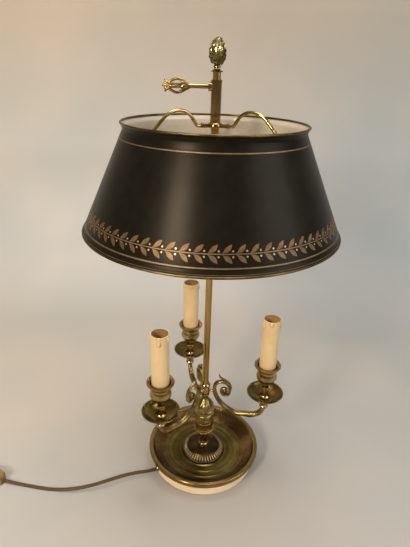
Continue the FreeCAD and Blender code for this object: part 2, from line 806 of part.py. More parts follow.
def make_key():
    collar_end = -(boss_reach + key_collar_thickness)
    screw = Part.makeCylinder(key_thread_radius, boss_reach - rod_radius - running_clearance * 2 + 0.5,
                              Vector(-boss_reach - 0.5, 0, key_z), Vector(1, 0, 0))
    collar = Part.makeCylinder(key_collar_radius, key_collar_thickness,
                               Vector(-boss_reach, 0, key_z), Vector(-1, 0, 0))
    shaft = Part.makeCylinder(key_shaft_radius, key_shaft_length,
                              Vector(collar_end, 0, key_z), Vector(-1, 0, 0))
    save("key_screw", screw.fuse([collar, shaft]))

    near = collar_end - key_shaft_length
    half = key_head_height / 2
    flare = key_head_length * 0.34
    basket = key_head_length * 0.45
    crown = key_head_length - flare - basket

    def at(along, height):
        return Vector(near - along, -key_head_thickness / 2, key_z + height)

    outline = []
    for side in (1, -1):
        outline.append(Part.Arc(at(0, side * key_shaft_radius), at(flare * 0.6, side * half * 0.38),
                                at(flare, side * half * 0.62)).toShape())
        outline.append(Part.Arc(at(flare, side * half * 0.62), at(flare + basket * 0.45, side * half),
                                at(flare + basket, side * half * 0.34)).toShape())
    tips = [at(flare + basket, half * 0.34), at(flare + basket + crown * 0.62, half * 0.62),
            at(flare + basket + crown * 0.55, half * 0.24), at(key_head_length, 0),
            at(flare + basket + crown * 0.55, -half * 0.24),
            at(flare + basket + crown * 0.62, -half * 0.62), at(flare + basket, -half * 0.34)]
    for first, second in zip(tips, tips[1:]):
        outline.append(Part.LineSegment(first, second).toShape())
    outline.append(Part.LineSegment(at(0, key_shaft_radius), at(0, -key_shaft_radius)).toShape())
    plate = Part.Face(Part.Wire(Part.__sortEdges__(outline)))
    thick = Vector(0, key_head_thickness, 0)
    head = plate.extrude(thick)
    for side in (1, -1):
        start = at(flare + key_bar * 0.8, side * key_bar * 0.7)
        end = at(flare + basket - key_bar * 0.9, side * key_bar * 0.5)
        bulge = at(flare + basket * 0.45, side * (half - key_bar))
        edges = [Part.Arc(start, bulge, end).toShape(), Part.LineSegment(end, start).toShape()]
        head = head.cut(Part.Face(Part.Wire(edges)).extrude(thick))
    save("key_head", head)


def make_lead():
    exit_direction = polar(1, cord_exit_azimuth, 0)
    start = polar(plinth_radius, cord_exit_azimuth, cord_exit_height)
    start = start + exit_direction * (bush_flange * 1.6 - 0.4)
    points = [start] + [Vector(*point) for point in lead_points] + [switch_near]
    edges = rounded_route(points, "cord_lead")
    save("cord_lead", tube_along(edges, cord_diameter / 2))
    return sum(edge.Length for edge in edges)


def make_link_and_coil():
    switch_far = switch_near + switch_direction * switch_length
    outer = coil_inner_radius + coil_pitch / 2 * coil_layer_half_turns + coil_climb_inset
    coil_start = coil_centre + Vector(0, -outer, 0)
    points = [switch_far] + [Vector(*point) for point in link_points] + [coil_start]
    link_edges = rounded_route(points, "cord_link")
    save("cord_link", tube_along(link_edges, cord_diameter / 2))

    edges = []
    here = coil_start
    heading = Vector(-1, 0, 0)
    side = 1
    radius = outer
    for step in range(coil_layer_half_turns):
        radius -= coil_pitch / 2
        if step == coil_layer_half_turns - 1:
            radius = coil_inner_radius
        there = coil_centre + Vector(0, side * radius, 0)
        arc, heading = tangent_arc(here, heading, there)
        edges.append(arc)
        here = there
        side = -side
    climb = coil_pitch
    way = Vector(heading.x, 0, 0)
    middle = Vector(coil_centre.x + way.x * math.hypot(radius, climb / 2), coil_centre.y,
                    here.z + climb / 2)
    arc, heading = tangent_arc(here, heading, middle)
    edges.append(arc)
    there = Vector(coil_centre.x, coil_centre.y + side * radius, here.z + climb)
    arc, heading = tangent_arc(middle, heading, there)
    edges.append(arc)
    here = there
    side = -side
    radius += coil_climb_inset
    for step in range(coil_layer_half_turns - 1):
        radius += coil_pitch / 2
        there = Vector(coil_centre.x, coil_centre.y + side * radius, here.z)
        arc, heading = tangent_arc(here, heading, there)
        edges.append(arc)
        here = there
        side = -side
    quarter = radius + coil_pitch / 4
    last = here + heading * quarter + Vector(0, side * quarter, 0)
    arc, heading = tangent_arc(here, heading, last)
    edges.append(arc)
    tail = [last]
    drop = last.z - plug_thickness / 2 - 0.1
    for along, fall in ((14.0, 0.0), (30.0, drop), (42.0, drop)):
        tail.append(last + heading * along - Vector(0, 0, fall))
    edges += rounded_route(tail, "cord tail")
    save("cord_coil", tube_along(edges, cord_diameter / 2))
    wire = Part.Wire(edges)
    samples = wire.discretize(Number=900)
    gap = wire.Length
    step = wire.Length / (len(samples) - 1)
    apart = int(cord_diameter * 2.5 / step)
    for i in range(0, len(samples)):
        for j in range(i + apart, len(samples), 2):
            gap = min(gap, samples[i].distanceToPoint(samples[j]))
    print("coil's least gap to itself %.2f mm" % (gap - cord_diameter))
    turns_length = wire.Length
    link_length = sum(edge.Length for edge in link_edges)
    return link_length + turns_length, tail[-1], heading


def in_switch_frame(shape):
    angle = math.degrees(math.atan2(switch_direction.y, switch_direction.x))
    shape.rotate(origin, up, angle)
    shape.translate(Vector(switch_near.x, switch_near.y, 0))
    return shape


def switch_outline(offset, z):
    half = switch_width / 2 - offset
    end = switch_end_width / 2 - offset
    low, high = offset, switch_length - offset
    mid = switch_length / 2
    flat = switch_length * 0.22
    edges = [Part.LineSegment(Vector(low, -end, z), Vector(low, end, z)).toShape()]
    for side in (1, -1):
        points = [Vector(low, side * end, z), Vector(mid - flat, side * half, z),
                  Vector(mid + flat, side * half, z), Vector(high, side * end, z)]
        for first, second in zip(points, points[1:]):
            edges.append(Part.LineSegment(first, second).toShape())
    edges.append(Part.LineSegment(Vector(high, -end, z), Vector(high, end, z)).toShape())
    return Part.Face(Part.Wire(Part.__sortEdges__(edges)))


def make_switch():
    mid = switch_length / 2
    pivot_z = switch_height - rocker_radius + rocker_proud
    base = switch_outline(0, 0).extrude(Vector(0, 0, switch_split))
    base = base.cut(switch_outline(switch_wall, switch_wall).extrude(Vector(0, 0, switch_split)))
    cover_height = switch_height - switch_split
    cover = switch_outline(0, switch_split).extrude(Vector(0, 0, cover_height))
    top_edges = [edge for edge in cover.Edges
                 if edge.BoundBox.ZMin > switch_height - 0.01]
    cover = cover.makeFillet(switch_edge, top_edges)
    inside = switch_outline(switch_wall, switch_split)
    cover = cover.cut(inside.extrude(Vector(0, 0, cover_height - switch_wall)))
    window = Part.makeBox(rocker_length + 2 * rocker_gap, rocker_width + 2 * rocker_gap, 10,
                          Vector(mid - rocker_length / 2 - rocker_gap,
                                 -rocker_width / 2 - rocker_gap, switch_height - 5))
    cover = cover.cut(window)
    screws = []
    for side in (-1, 1):
        at = Vector(mid + side * screw_spacing / 2, 0, 0)
        pillar = rod(screw_head_radius + 1.0, switch_split, switch_height - switch_wall, 0, at)
        cover = cover.fuse(pillar).cut(rod(screw_radius, switch_split, switch_height - switch_wall - 1, 0, at))
        foot = rod(screw_head_radius + 1.0, switch_wall, switch_split, 0, at)
        base = base.fuse(foot).cut(rod(screw_radius, 0, switch_split, 0, at))
        base = base.cut(rod(screw_head_radius, 0, 2.0, 0, at))
        screw = rod(screw_radius, 1.0, switch_height - switch_wall - 2, 0, at)
        screws.append(screw.fuse(rod(screw_head_radius, 0.5, 2.0, 0, at)))

    wedge = Part.makeCylinder(rocker_radius, rocker_width,
                              Vector(mid, -rocker_width / 2, pivot_z), Vector(0, 1, 0))
    keep = Part.makeBox(rocker_length, rocker_width, rocker_radius,
                        Vector(mid - rocker_length / 2, -rocker_width / 2, switch_height - 3.5))
    rocker = wedge.common(keep)
    dip = Part.makeCylinder(rocker_radius * 1.6, rocker_width,
                            Vector(mid, -rocker_width / 2,
                                   switch_height + rocker_proud + rocker_radius * 1.6 - 1.2),
                            Vector(0, 1, 0))
    rocker = rocker.cut(dip)
    hinge_z = switch_height - 4.5
    pin = Part.makeCylinder(1.5, rocker_width, Vector(mid, -rocker_width / 2, hinge_z),
                            Vector(0, 1, 0))
    rocker = rocker.fuse(pin)
    rocker.rotate(Vector(mid, 0, hinge_z), Vector(0, 1, 0), rocker_tilt)
    for side in (-1, 1):
        cheek = Part.makeBox(5.0, 1.4, switch_height - switch_wall - hinge_z + 2.4,
                             Vector(mid - 2.5, side * (rocker_width / 2 + rocker_gap + 0.7) - 0.7,
                                    hinge_z - 2.4))
        cover = cover.fuse(cheek)
    save("switch_base", in_switch_frame(base))
    save("switch_cover", in_switch_frame(cover))
    save("switch_rocker", in_switch_frame(rocker))
    save("switch_screws", in_switch_frame(Part.makeCompound(screws)))
    pivot = in_switch_frame(Part.Vertex(Vector(mid, 0, hinge_z))).Point
    print("rocker pivot", [round(value, 4) for value in pivot])


def make_plug(start, heading):
    relief = Part.makeCone(cord_diameter / 2 + 0.5, plug_back_width / 2.4, plug_relief_length,
                           origin, Vector(1, 0, 0))
    low = -plug_thickness / 2
    back = plug_back_width / 2
    front = plug_width / 2
    begin = plug_relief_length
    waist = begin + plug_length * 0.62
    end = begin + plug_length
    points = [Vector(begin, -back, low), Vector(waist, -front, low), Vector(end, -front, low),
              Vector(end, front, low), Vector(waist, front, low), Vector(begin, back, low)]
    body = Part.Face(Part.makePolygon(points + points[:1])).extrude(Vector(0, 0, plug_thickness))
    body = body.makeFillet(plug_thickness * 0.22,
                           [edge for edge in body.Edges if edge.BoundBox.XMin < end - 0.01
                            and edge.BoundBox.ZLength < 0.01])
    body = body.fuse(relief)
    pins = []
    for side in (-1, 1):
        at = Vector(end - plug_pin_root_length, side * plug_pin_spacing / 2, 0)
        root = Part.makeCylinder(plug_pin_root_radius, plug_pin_root_length + 1.0, at, Vector(1, 0, 0))
        body = body.cut(root)
        pin = Part.makeCylinder(plug_pin_radius, plug_pin_length,
                                at + Vector(plug_pin_root_length, 0, 0), Vector(1, 0, 0))
        pins.append(pin.fuse(root))
    angle = math.degrees(math.atan2(heading.y, heading.x))
    for name, shape in (("plug_body", body), ("plug_pins", Part.makeCompound(pins))):
        shape.rotate(origin, up, angle)
        shape.translate(start)
        save(name, shape)
    return start + heading * end


def main():
    make_base()
    make_foot()
    make_stem()
    make_column()
    for number in range(arm_count):
        azimuth = arm_first_azimuth + 360 / arm_count * number
        make_lamp_arm(number + 1, azimuth)
        make_light(number + 1, azimuth)
    make_nipples()
    make_slide_tube()
    make_carrier()
    make_shade()
    make_key()
    lead_length = make_lead()
    rest_length, plug_start, plug_heading = make_link_and_coil()
    make_switch()
    plug_face = make_plug(plug_start, plug_heading)
    print("cord length mm %.0f" % (lead_length + switch_length + rest_length))
    print("plug face", plug_face, "heading", plug_heading)
    print("heights: dish %.1f drum %.1f vase %.1f collar %.1f rod %.1f..%.1f tube %.1f..%.1f shade %.1f..%.1f"
          % (dish_floor, drum_bottom, vase_bottom, collar_bottom, rod_bottom, rod_top,
             tube_bottom, tube_top, shade_bottom, shade_top))
    print("eye %.1f pan %.1f floor %.1f lip %.1f sleeve %.1f..%.1f holder %.1f..%.1f key %.1f"
          % (eye_z, pan_bottom, pan_floor, cup_lip, sleeve_bottom, sleeve_top,
             lampholder_bottom, lampholder_top, key_z))


main()
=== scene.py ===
from math import atan2, copysign, cos, degrees, exp, hypot, pi, radians, sin, sqrt

import bmesh
import bpy
from mathutils import Matrix, Vector


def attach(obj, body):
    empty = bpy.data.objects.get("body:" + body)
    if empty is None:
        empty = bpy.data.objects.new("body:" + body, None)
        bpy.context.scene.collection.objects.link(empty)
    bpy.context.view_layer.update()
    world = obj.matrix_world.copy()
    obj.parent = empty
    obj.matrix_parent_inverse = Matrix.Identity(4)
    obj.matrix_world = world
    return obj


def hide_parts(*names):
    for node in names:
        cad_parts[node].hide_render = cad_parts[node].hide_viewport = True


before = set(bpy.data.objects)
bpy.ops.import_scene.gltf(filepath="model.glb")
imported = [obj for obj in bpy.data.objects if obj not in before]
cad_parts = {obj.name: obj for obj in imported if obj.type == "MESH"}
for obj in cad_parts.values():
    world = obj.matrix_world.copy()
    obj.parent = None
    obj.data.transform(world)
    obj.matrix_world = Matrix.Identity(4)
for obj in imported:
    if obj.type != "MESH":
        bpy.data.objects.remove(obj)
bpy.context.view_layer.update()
mm = 0.001
armAzimuths = {1: 228, 2: 348, 3: 108}  # the three candle arms, seen from above
armReach = 97
tieBore = 3.05  # the stem's rings stand round the tie rod


# small helpers for points and meshes
def polar(radius, azimuth, height):
    turn = radians(azimuth)
    return Vector((radius * cos(turn), radius * sin(turn), height))


def smoothLine(points, steps=5):
    # a soft line through the points, for profiles and bars
    pts = [Vector(p) for p in points]
    pts = [pts[0] * 2 - pts[1]] + pts + [pts[-1] * 2 - pts[-2]]
    line = []
    for a, b, c, d in zip(pts, pts[1:], pts[2:], pts[3:]):
        for i in range(steps):
            t = i / steps
            line.append(0.5 * ((2 * b) + (c - a) * t + (2 * a - 5 * b + 4 * c - d) * t * t
                    + (3 * b - a - 3 * c + d) * t ** 3))
    line.append(pts[-2])
    return line


def sizesAt(rows, share):
    # values between rows of (share, values...)
    for (low, *first), (high, *second) in zip(rows, rows[1:]):
        if share <= high:
            part = (share - low) / (high - low)
            return [a + (b - a) * part for a, b in zip(first, second)]
    return rows[-1][1:]


def addObject(name, data):
    made = bpy.data.objects.new(name, data)
    bpy.context.scene.collection.objects.link(made)
    return made


def piece(name, mesh, body, slot, finishes, *replaced):
    mesh.name = name
    made = addObject(name, mesh)
    for finish in finishes:
        mesh.materials.append(finish)
    if body:
        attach(made, body)
    if replaced:
        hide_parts(*replaced)
    return made


def meshFrom(points, faces, sharp=40, fix=True):
    mesh = bpy.data.meshes.new("part")
    mesh.from_pydata([tuple(Vector(p) * mm) for p in points], [], faces)
    if fix:
        work = bmesh.new()
        work.from_mesh(mesh)
        bmesh.ops.remove_doubles(work, verts=work.verts, dist=1e-6)
        bmesh.ops.recalc_face_normals(work, faces=work.faces)
        work.to_mesh(mesh)
        work.free()
    mesh.polygons.foreach_set("use_smooth", [True] * len(mesh.polygons))
    mesh.set_sharp_from_angle(angle=radians(sharp))
    mesh.update()
    return mesh


def turnedMesh(outline, segments=96, sharp=40, wave=None, at=(0, 0)):
    # an outline of (radius, height) turned about Z; wave(angle, index) changes the radius
    rings, points, faces = [], [], []
    for index, (radius, height) in enumerate(outline):
        if radius < 1e-6:
            rings.append([len(points)])
            points.append((at[0], at[1], height))
            continue
        ring = []
        for i in range(segments):
            angle = 2 * pi * i / segments
            r = radius + (wave(angle, index) if wave else 0)
            ring.append(len(points))
            points.append((at[0] + r * cos(angle), at[1] + r * sin(angle), height))
        rings.append(ring)
    pairs = list(zip(rings, rings[1:]))
    if len(rings[0]) > 1 and len(rings[-1]) > 1:
        pairs.append((rings[-1], rings[0]))
    for low, high in pairs:
        for i in range(segments):
            j = (i + 1) % segments
            corners = [low[i % len(low)], low[j % len(low)], high[j % len(high)], high[i % len(high)]]
            face = list(dict.fromkeys(corners))
            if len(face) > 2:
                faces.append(face)
    return meshFrom(points, faces, sharp)


def tubeFaces(count, sides):
    # the skin over rings of points, both ends closed
    faces = []
    for i in range(count - 1):
        for k in range(sides):
            m = (k + 1) % sides
            faces.append([i * sides + k, i * sides + m, (i + 1) * sides + m, (i + 1) * sides + k])
    return faces + [list(range(sides)), list(range((count - 1) * sides, count * sides))]


def barMesh(line, sizes, sides=12, flat=None):
    # a bar along a line of points; sizes are its radii, flat(t) squeezes it across
    pts = [Vector(p) for p in line]
    points, normal = [], None
    count = len(pts)
    for i, here in enumerate(pts):
        ahead = (pts[min(i + 1, count - 1)] - pts[max(i - 1, 0)]).normalized()
        if normal is None:
            normal = ahead.orthogonal().normalized()
        normal = (normal - ahead * normal.dot(ahead)).normalized()
        across = ahead.cross(normal)
        t = i / (count - 1)
        size = sizes[0] + (sizes[1] - sizes[0]) * t if len(sizes) == 2 else sizes[i]
        for k in range(sides):
            turn = 2 * pi * k / sides
            points.append(here + normal * size * cos(turn)
                + across * size * sin(turn) * (flat(t) if flat else 1))
    return meshFrom(points, tubeFaces(count, sides), 50)


def joinMeshes(*meshes):
    work = bmesh.new()
    for mesh in meshes:
        work.from_mesh(mesh)
    whole = bpy.data.meshes.new("joined")
    work.to_mesh(whole)
    work.free()
    return whole


def ballMesh(radius, centre=(0, 0, 0), stretch=(1, 1, 1), detail=2):
    work = bmesh.new()
    bmesh.ops.create_icosphere(work, subdivisions=detail, radius=radius * mm)
    for vert in work.verts:
        vert.co = Vector([vert.co[k] * stretch[k] + centre[k] * mm for k in range(3)])
    mesh = bpy.data.meshes.new("ball")
    for face in work.faces:
        face.smooth = True
    work.to_mesh(mesh)
    work.free()
    return mesh


def secondFinish(mesh, test=None):
    # the faces that pass the test take the mesh's second finish
    for polygon in mesh.polygons:
        if test is None or test(polygon):
            polygon.material_index = 1


# nodes for finishes and for Geometry Nodes
def addNode(tree, kind, inputs=None, **settings):
    made = tree.nodes.new(kind)
    for key, value in settings.items():
        setattr(made, key, value)
    for key, value in (inputs or {}).items():
        if isinstance(value, bpy.types.NodeSocket):
            tree.links.new(value, made.inputs[key])
        else:
            made.inputs[key].default_value = value
    return made


def wire(tree, kind, inputs=None, output=0, **settings):
    return addNode(tree, kind, inputs, **settings).outputs[output]


def calc(tree, operation, *values, **settings):
    return wire(tree, "ShaderNodeMath", dict(enumerate(values)), operation=operation, **settings)


def vectorOf(tree, x=0, y=0, z=0):
    return wire(tree, "ShaderNodeCombineXYZ", {0: x, 1: y, 2: z})


def partsOf(tree, vector):
    return addNode(tree, "ShaderNodeSeparateXYZ", {0: vector}).outputs


def lengthOf(tree, vector):
    return wire(tree, "ShaderNodeVectorMath", {0: vector}, "Value", operation="LENGTH")


def mix(tree, low, high, factor=None):
    # without a factor the two colours are multiplied
    blend, share = ("MULTIPLY", 1) if factor is None else ("MIX", factor)
    return wire(tree, "ShaderNodeMix", {0: share, 6: low, 7: high}, 2, data_type="RGBA", blend_type=blend)


def ramp(tree, factor, *stops):
    made = addNode(tree, "ShaderNodeValToRGB", {0: factor})
    elements = made.color_ramp.elements
    while len(elements) < len(stops):
        elements.new(0.5)
    for element, (place, colour) in zip(elements, stops):
        element.position = place
        element.color = (*colour, 1)
    return made.outputs[0]


def span(tree, value, low, high, fromLow=0, fromHigh=1):
    return wire(tree, "ShaderNodeMapRange", {0: value, 1: fromLow, 2: fromHigh, 3: low, 4: high})


def noise(tree, place, scale, detail=3, rough=0.55, stretch=None):
    if stretch:
        place = wire(tree, "ShaderNodeMapping", {0: place, 3: stretch})
    return wire(tree, "ShaderNodeTexNoise",
        {"Vector": place, "Scale": scale, "Detail": detail, "Roughness": rough})


# finishes
def finishOf(name, **settings):
    material = bpy.data.materials.new(name)
    material.use_nodes = True
    tree = material.node_tree
    shader = tree.nodes["Principled BSDF"]
    for key, value in settings.items():
        shader.inputs[key.replace("_", " ")].default_value = value
    return material, tree, shader, addNode(tree, "ShaderNodeTexCoord").outputs


def paintedRecessShade(tree, colour, distance, samples, *stops):
    # painted shade: darker where the surface lies in a recess, where less light reaches
    hidden = wire(tree, "ShaderNodeAmbientOcclusion", {"Distance": distance}, "AO", samples=samples)
    return mix(tree, colour, ramp(tree, hidden, *stops))


def closeFinish(tree, shader, colour, roughness, height, strength, distance):
    bump = wire(tree, "ShaderNodeBump", {"Strength": strength, "Distance": distance, "Height": height})
    for key, socket in (("Base Color", colour), ("Roughness", roughness), ("Normal", bump)):
        tree.links.new(socket, shader.inputs[key])


def brassFinish(name, dark, middle, light, roughness, grain=1400, depth=0.00012, recess=0.003,
        stretch=None, strength=0.5):
    material, tree, shader, place = finishOf(name, Metallic=1)
    patches = noise(tree, place["Object"], 55, 5, 0.6, stretch)
    fine = noise(tree, place["Object"], grain, 3, 0.6, stretch)
    colour = ramp(tree, patches, (0.32, dark), (0.5, middle), (0.66, light))
    # painted shade in the brass's recesses
    if recess:
        colour = paintedRecessShade(tree, colour, recess, 6, (0.2, (0.2, 0.15, 0.09)), (0.7, (1, 1, 1)))
    closeFinish(tree, shader, colour, span(tree, patches, *roughness, 0.3, 0.7), fine, strength, depth)
    return material


def paintFinish(name, low, high, roughness, grain, depth, stretch=None, recess=0, **settings):
    material, tree, shader, place = finishOf(name, **settings)
    patches = noise(tree, place["Object"], grain / 12, 4, 0.55)
    fine = noise(tree, place["Object"], grain, 3, 0.6, stretch)
    colour = ramp(tree, patches, (0.3, low), (0.7, high))
    # painted shade in the paint's recesses
    if recess:
        colour = paintedRecessShade(tree, colour, recess, 8, (0.4, (0.22, 0.13, 0.06)), (0.88, (1, 1, 1)))
    closeFinish(tree, shader, colour, span(tree, fine, *roughness, 0.25, 0.75), fine, 0.35, depth)
    return material


def dishFinish():
    # turning rings: the noise runs on the distance from the middle
    material, tree, shader, place = finishOf("dishBrass", Metallic=1)
    x, y, _ = partsOf(tree, place["Object"])
    away = lengthOf(tree, vectorOf(tree, x, y))
    ringPlace = vectorOf(tree, away)
    broad = noise(tree, ringPlace, 150, 2, 0.5)
    thin = noise(tree, ringPlace, 1500, 2, 0.6)
    patches = noise(tree, place["Object"], 30, 4, 0.6)
    colour = ramp(tree, span(tree, calc(tree, "ADD", broad, patches), 0, 1, 0.6, 1.4),
                  (0.2, (0.055, 0.042, 0.012)), (0.5, (0.11, 0.085, 0.026)), (0.8, (0.21, 0.165, 0.055)))
    bands = [  # where each band starts, in metres from the middle, and its tones
        (0.064, 0.07, (0.3, (0.07, 0.032, 0.011)), (0.5, (0.13, 0.07, 0.024)),
         (0.7, (0.24, 0.15, 0.055))),
        (0.085, 0.0866, (0.3, (0.17, 0.125, 0.04)), (0.7, (0.34, 0.25, 0.09))),
        (0.0927, 0.0931, (0.3, (0.2, 0.105, 0.03)), (0.7, (0.34, 0.19, 0.065)))]
    for near, far, *tones in bands:
        colour = mix(tree, colour, ramp(tree, patches, *tones), span(tree, away, 0, 1, near, far))
    closeFinish(tree, shader, colour, span(tree, patches, 0.13, 0.28, 0.3, 0.7),
        calc(tree, "ADD", thin, broad), 0.5, 0.0004)
    return material


def sheathFinish():
    # clear brown sheath over twisted copper strands: slanted hatch along the cord
    material, tree, shader, place = finishOf("cordSheath", Coat_Weight=0.04, Coat_Roughness=0.2,
        Specular_IOR_Level=0.15)
    hatch = wire(tree, "ShaderNodeMapping", {0: place["UV"], 2: (0, 0, 0.62), 3: (6, 650, 1)})
    inputs = {"Vector": hatch, "Scale": 0.32, "Distortion": 1.2, "Detail": 2}
    waves = wire(tree, "ShaderNodeTexWave", inputs, "Fac", wave_profile="SIN")
    colour = ramp(tree, waves, (0.2, (0.018, 0.01, 0.004)), (0.6, (0.075, 0.044, 0.016)),
                  (0.95, (0.21, 0.135, 0.055)))
    closeFinish(tree, shader, colour, span(tree, waves, 0.42, 0.6), waves, 0.2, 0.0002)
    return material


dishBrass, cordSheath = dishFinish(), sheathFinish()
agedBrass = brassFinish("agedBrass", (0.24, 0.155, 0.05), (0.38, 0.26, 0.095), (0.52, 0.37, 0.15),
    (0.09, 0.2), strength=0.3)
chasedBrass = brassFinish("chasedBrass", (0.15, 0.098, 0.03), (0.28, 0.19, 0.065), (0.45, 0.32, 0.125),
    (0.12, 0.28), 620, 0.0006, strength=0.75)
oliveBrass = brassFinish("oliveBrass", (0.09, 0.062, 0.017), (0.16, 0.112, 0.033), (0.28, 0.2, 0.065),
    (0.15, 0.3), 900, 0.0002)
greenBrass = brassFinish("greenBrass", (0.12, 0.1, 0.035), (0.25, 0.2, 0.075), (0.42, 0.33, 0.14),
    (0.16, 0.3), 900, 0.0002)
polishedBrass = brassFinish("polishedBrass", (0.3, 0.17, 0.045), (0.44, 0.27, 0.08), (0.58, 0.38, 0.14),
    (0.12, 0.24), 500, 0.00004, 0, (1, 1, 0.12), 0.3)
darkBrass = brassFinish("darkBrass", (0.2, 0.12, 0.04), (0.34, 0.22, 0.085), (0.46, 0.32, 0.13),
    (0.06, 0.14), 500, 0.00003, 0, (1, 1, 0.12), 0.2)
rimWire = brassFinish("rimWire", (0.07, 0.045, 0.014), (0.13, 0.085, 0.028), (0.2, 0.135, 0.048),
    (0.28, 0.42), depth=0.00004, recess=0)
footBrown = brassFinish("footBrown", (0.03, 0.017, 0.008), (0.06, 0.036, 0.015), (0.12, 0.075, 0.03),
    (0.3, 0.44), 900, 0.0001)
shadePaint = paintFinish("shadePaint", (0.005, 0.0043, 0.0027), (0.01, 0.0085, 0.0052), (0.3, 0.4),
    700, 0.00006, (1, 1, 3), Specular_IOR_Level=0.12,
    Specular_Tint=(1, 0.8, 0.62, 1))
shadeWhite = paintFinish("shadeWhite", (0.55, 0.46, 0.355), (0.6, 0.52, 0.41), (0.16, 0.24), 400, 0.00003)
leafGold = paintFinish("leafGold", (0.1, 0.052, 0.016), (0.215, 0.112, 0.038), (0.42, 0.56),
    1300, 0.00005, Metallic=0.55)
berryGold = paintFinish("berryGold", (0.34, 0.25, 0.15), (0.46, 0.35, 0.22), (0.3, 0.46),
    1300, 0.00005, Metallic=0.5)
lineGold = paintFinish("lineGold", (0.15, 0.085, 0.035), (0.24, 0.15, 0.065), (0.4, 0.55),
    1300, 0.00004, Metallic=0.6)
# painted shade: the recess setting darkens the hollows round the drips
sleeveCream = paintFinish("sleeveCream", (0.75, 0.51, 0.25), (0.81, 0.58, 0.31), (0.34, 0.46), 500,
    0.00008, recess=0.003, Subsurface_Weight=0.08, Subsurface_Scale=0.002)
sleeveInside = paintFinish("sleeveInside", (0.33, 0.185, 0.065), (0.45, 0.27, 0.105), (0.4, 0.6),
    500, 0.00008)
plinthCream = paintFinish("plinthCream", (0.95, 0.69, 0.43), (0.99, 0.76, 0.49), (0.42, 0.55),
    300, 0.0001)
# painted highlight: the flutes take a bright, half-metal gold so that they show as lit ticks
fluteHighlightGold = paintFinish("fluteHighlightGold", (0.33, 0.23, 0.11), (0.5, 0.37, 0.2), (0.3, 0.42),
    900, 0.00005, Metallic=0.6)
feltGreen = paintFinish("feltGreen", (0.03, 0.06, 0.035), (0.06, 0.1, 0.06), (0.85, 0.98),
    2500, 0.0003, Sheen_Weight=0.3)
holderIvory = paintFinish("holderIvory", (0.42, 0.31, 0.17), (0.55, 0.42, 0.25), (0.35, 0.5),
    600, 0.00005)
zincSteel = paintFinish("zincSteel", (0.45, 0.44, 0.41), (0.62, 0.6, 0.56), (0.25, 0.4),
    900, 0.00004, Metallic=1)
terminalWhite = paintFinish("terminalWhite", (0.7, 0.7, 0.66), (0.78, 0.78, 0.74), (0.4, 0.5),
    500, 0.00004)
switchBronze = paintFinish("switchBronze", (0.2, 0.115, 0.035), (0.3, 0.18, 0.06), (0.22, 0.34),
    400, 0.00004, Coat_Weight=0.3, Coat_Roughness=0.15)
plugBrown = paintFinish("plugBrown", (0.075, 0.045, 0.022), (0.12, 0.075, 0.038), (0.28, 0.42),
    400, 0.00005)
pinNickel = paintFinish("pinNickel", (0.6, 0.59, 0.56), (0.74, 0.73, 0.7), (0.15, 0.25),
    900, 0.00002, Metallic=1)
print("finishes made")

nodeFinishes = {
    feltGreen: "base_felt", plinthCream: "plinth", dishBrass: "dish", terminalWhite: "terminal_block",
    zincSteel: "tie_nut tie_washer tie_rod nipples holder_nuts switch_screws", polishedBrass: "rod",
    darkBrass: "slide_tube", rimWire: "shade_top_wire shade_bottom_wire", pinNickel: "plug_pins",
    switchBronze: "switch_base switch_cover", plugBrown: "switch_rocker plug_body",
    holderIvory: "lampholder_1 lampholder_2 lampholder_3",
}
finishByNode = {name: finish for finish, names in nodeFinishes.items() for name in names.split()}
for name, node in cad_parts.items():
    node.data.materials.clear()
    node.data.materials.append(finishByNode.get(name, agedBrass))


# Geometry Nodes: each tree sets copies of one unit
def newTree(name, *measures):
    tree = bpy.data.node_groups.new(name, "GeometryNodeTree")
    tree.interface.new_socket(name="Geometry", in_out="OUTPUT", socket_type="NodeSocketGeometry")
    kinds = {"Piece": "Object", "Finish": "Material", "Count": "Int", **dict.fromkeys(measures, "Float")}
    for socketName, kind in kinds.items():
        tree.interface.new_socket(name=socketName, in_out="INPUT", socket_type="NodeSocket" + kind)
    return tree, addNode(tree, "NodeGroupInput").outputs, wire(tree, "GeometryNodeInputIndex")


def aroundZ(tree, angle, away, height):
    along, across = (calc(tree, "MULTIPLY", calc(tree, kind, angle), away) for kind in ("COSINE", "SINE"))
    return vectorOf(tree, along, across, height)


def copiesAt(tree, given, place, turn=None, lean=0, size=None):
    points = wire(tree, "GeometryNodePoints", {"Count": given["Count"], "Position": place})
    shape = wire(tree, "GeometryNodeObjectInfo", {"Object": given["Piece"]}, "Geometry")
    inputs = {"Points": points, "Instance": shape}
    if turn is not None:
        inputs["Rotation"] = wire(tree, "FunctionNodeEulerToRotation", {0: vectorOf(tree, 0, lean, turn)})
    if size is not None:
        inputs["Scale"] = size
    return wire(tree, "GeometryNodeInstanceOnPoints", inputs)


def closeTree(tree, given, copies, moved=None):
    real = wire(tree, "GeometryNodeRealizeInstances", {0: copies})
    if moved:
        real = moved(real)
    painted = wire(tree, "GeometryNodeSetMaterial", {"Geometry": real, "Material": given["Finish"]})
    addNode(tree, "NodeGroupOutput", {0: painted})
    return tree


def ringTree():
    tree, given, index = newTree("ringOfPieces", "Radius", "Height", "First")
    share = calc(tree, "DIVIDE", index, given["Count"])
    angle = calc(tree, "MULTIPLY_ADD", share, 2 * pi, given["First"])
    place = aroundZ(tree, angle, given["Radius"], given["Height"])
    return closeTree(tree, given, copiesAt(tree, given, place, angle))


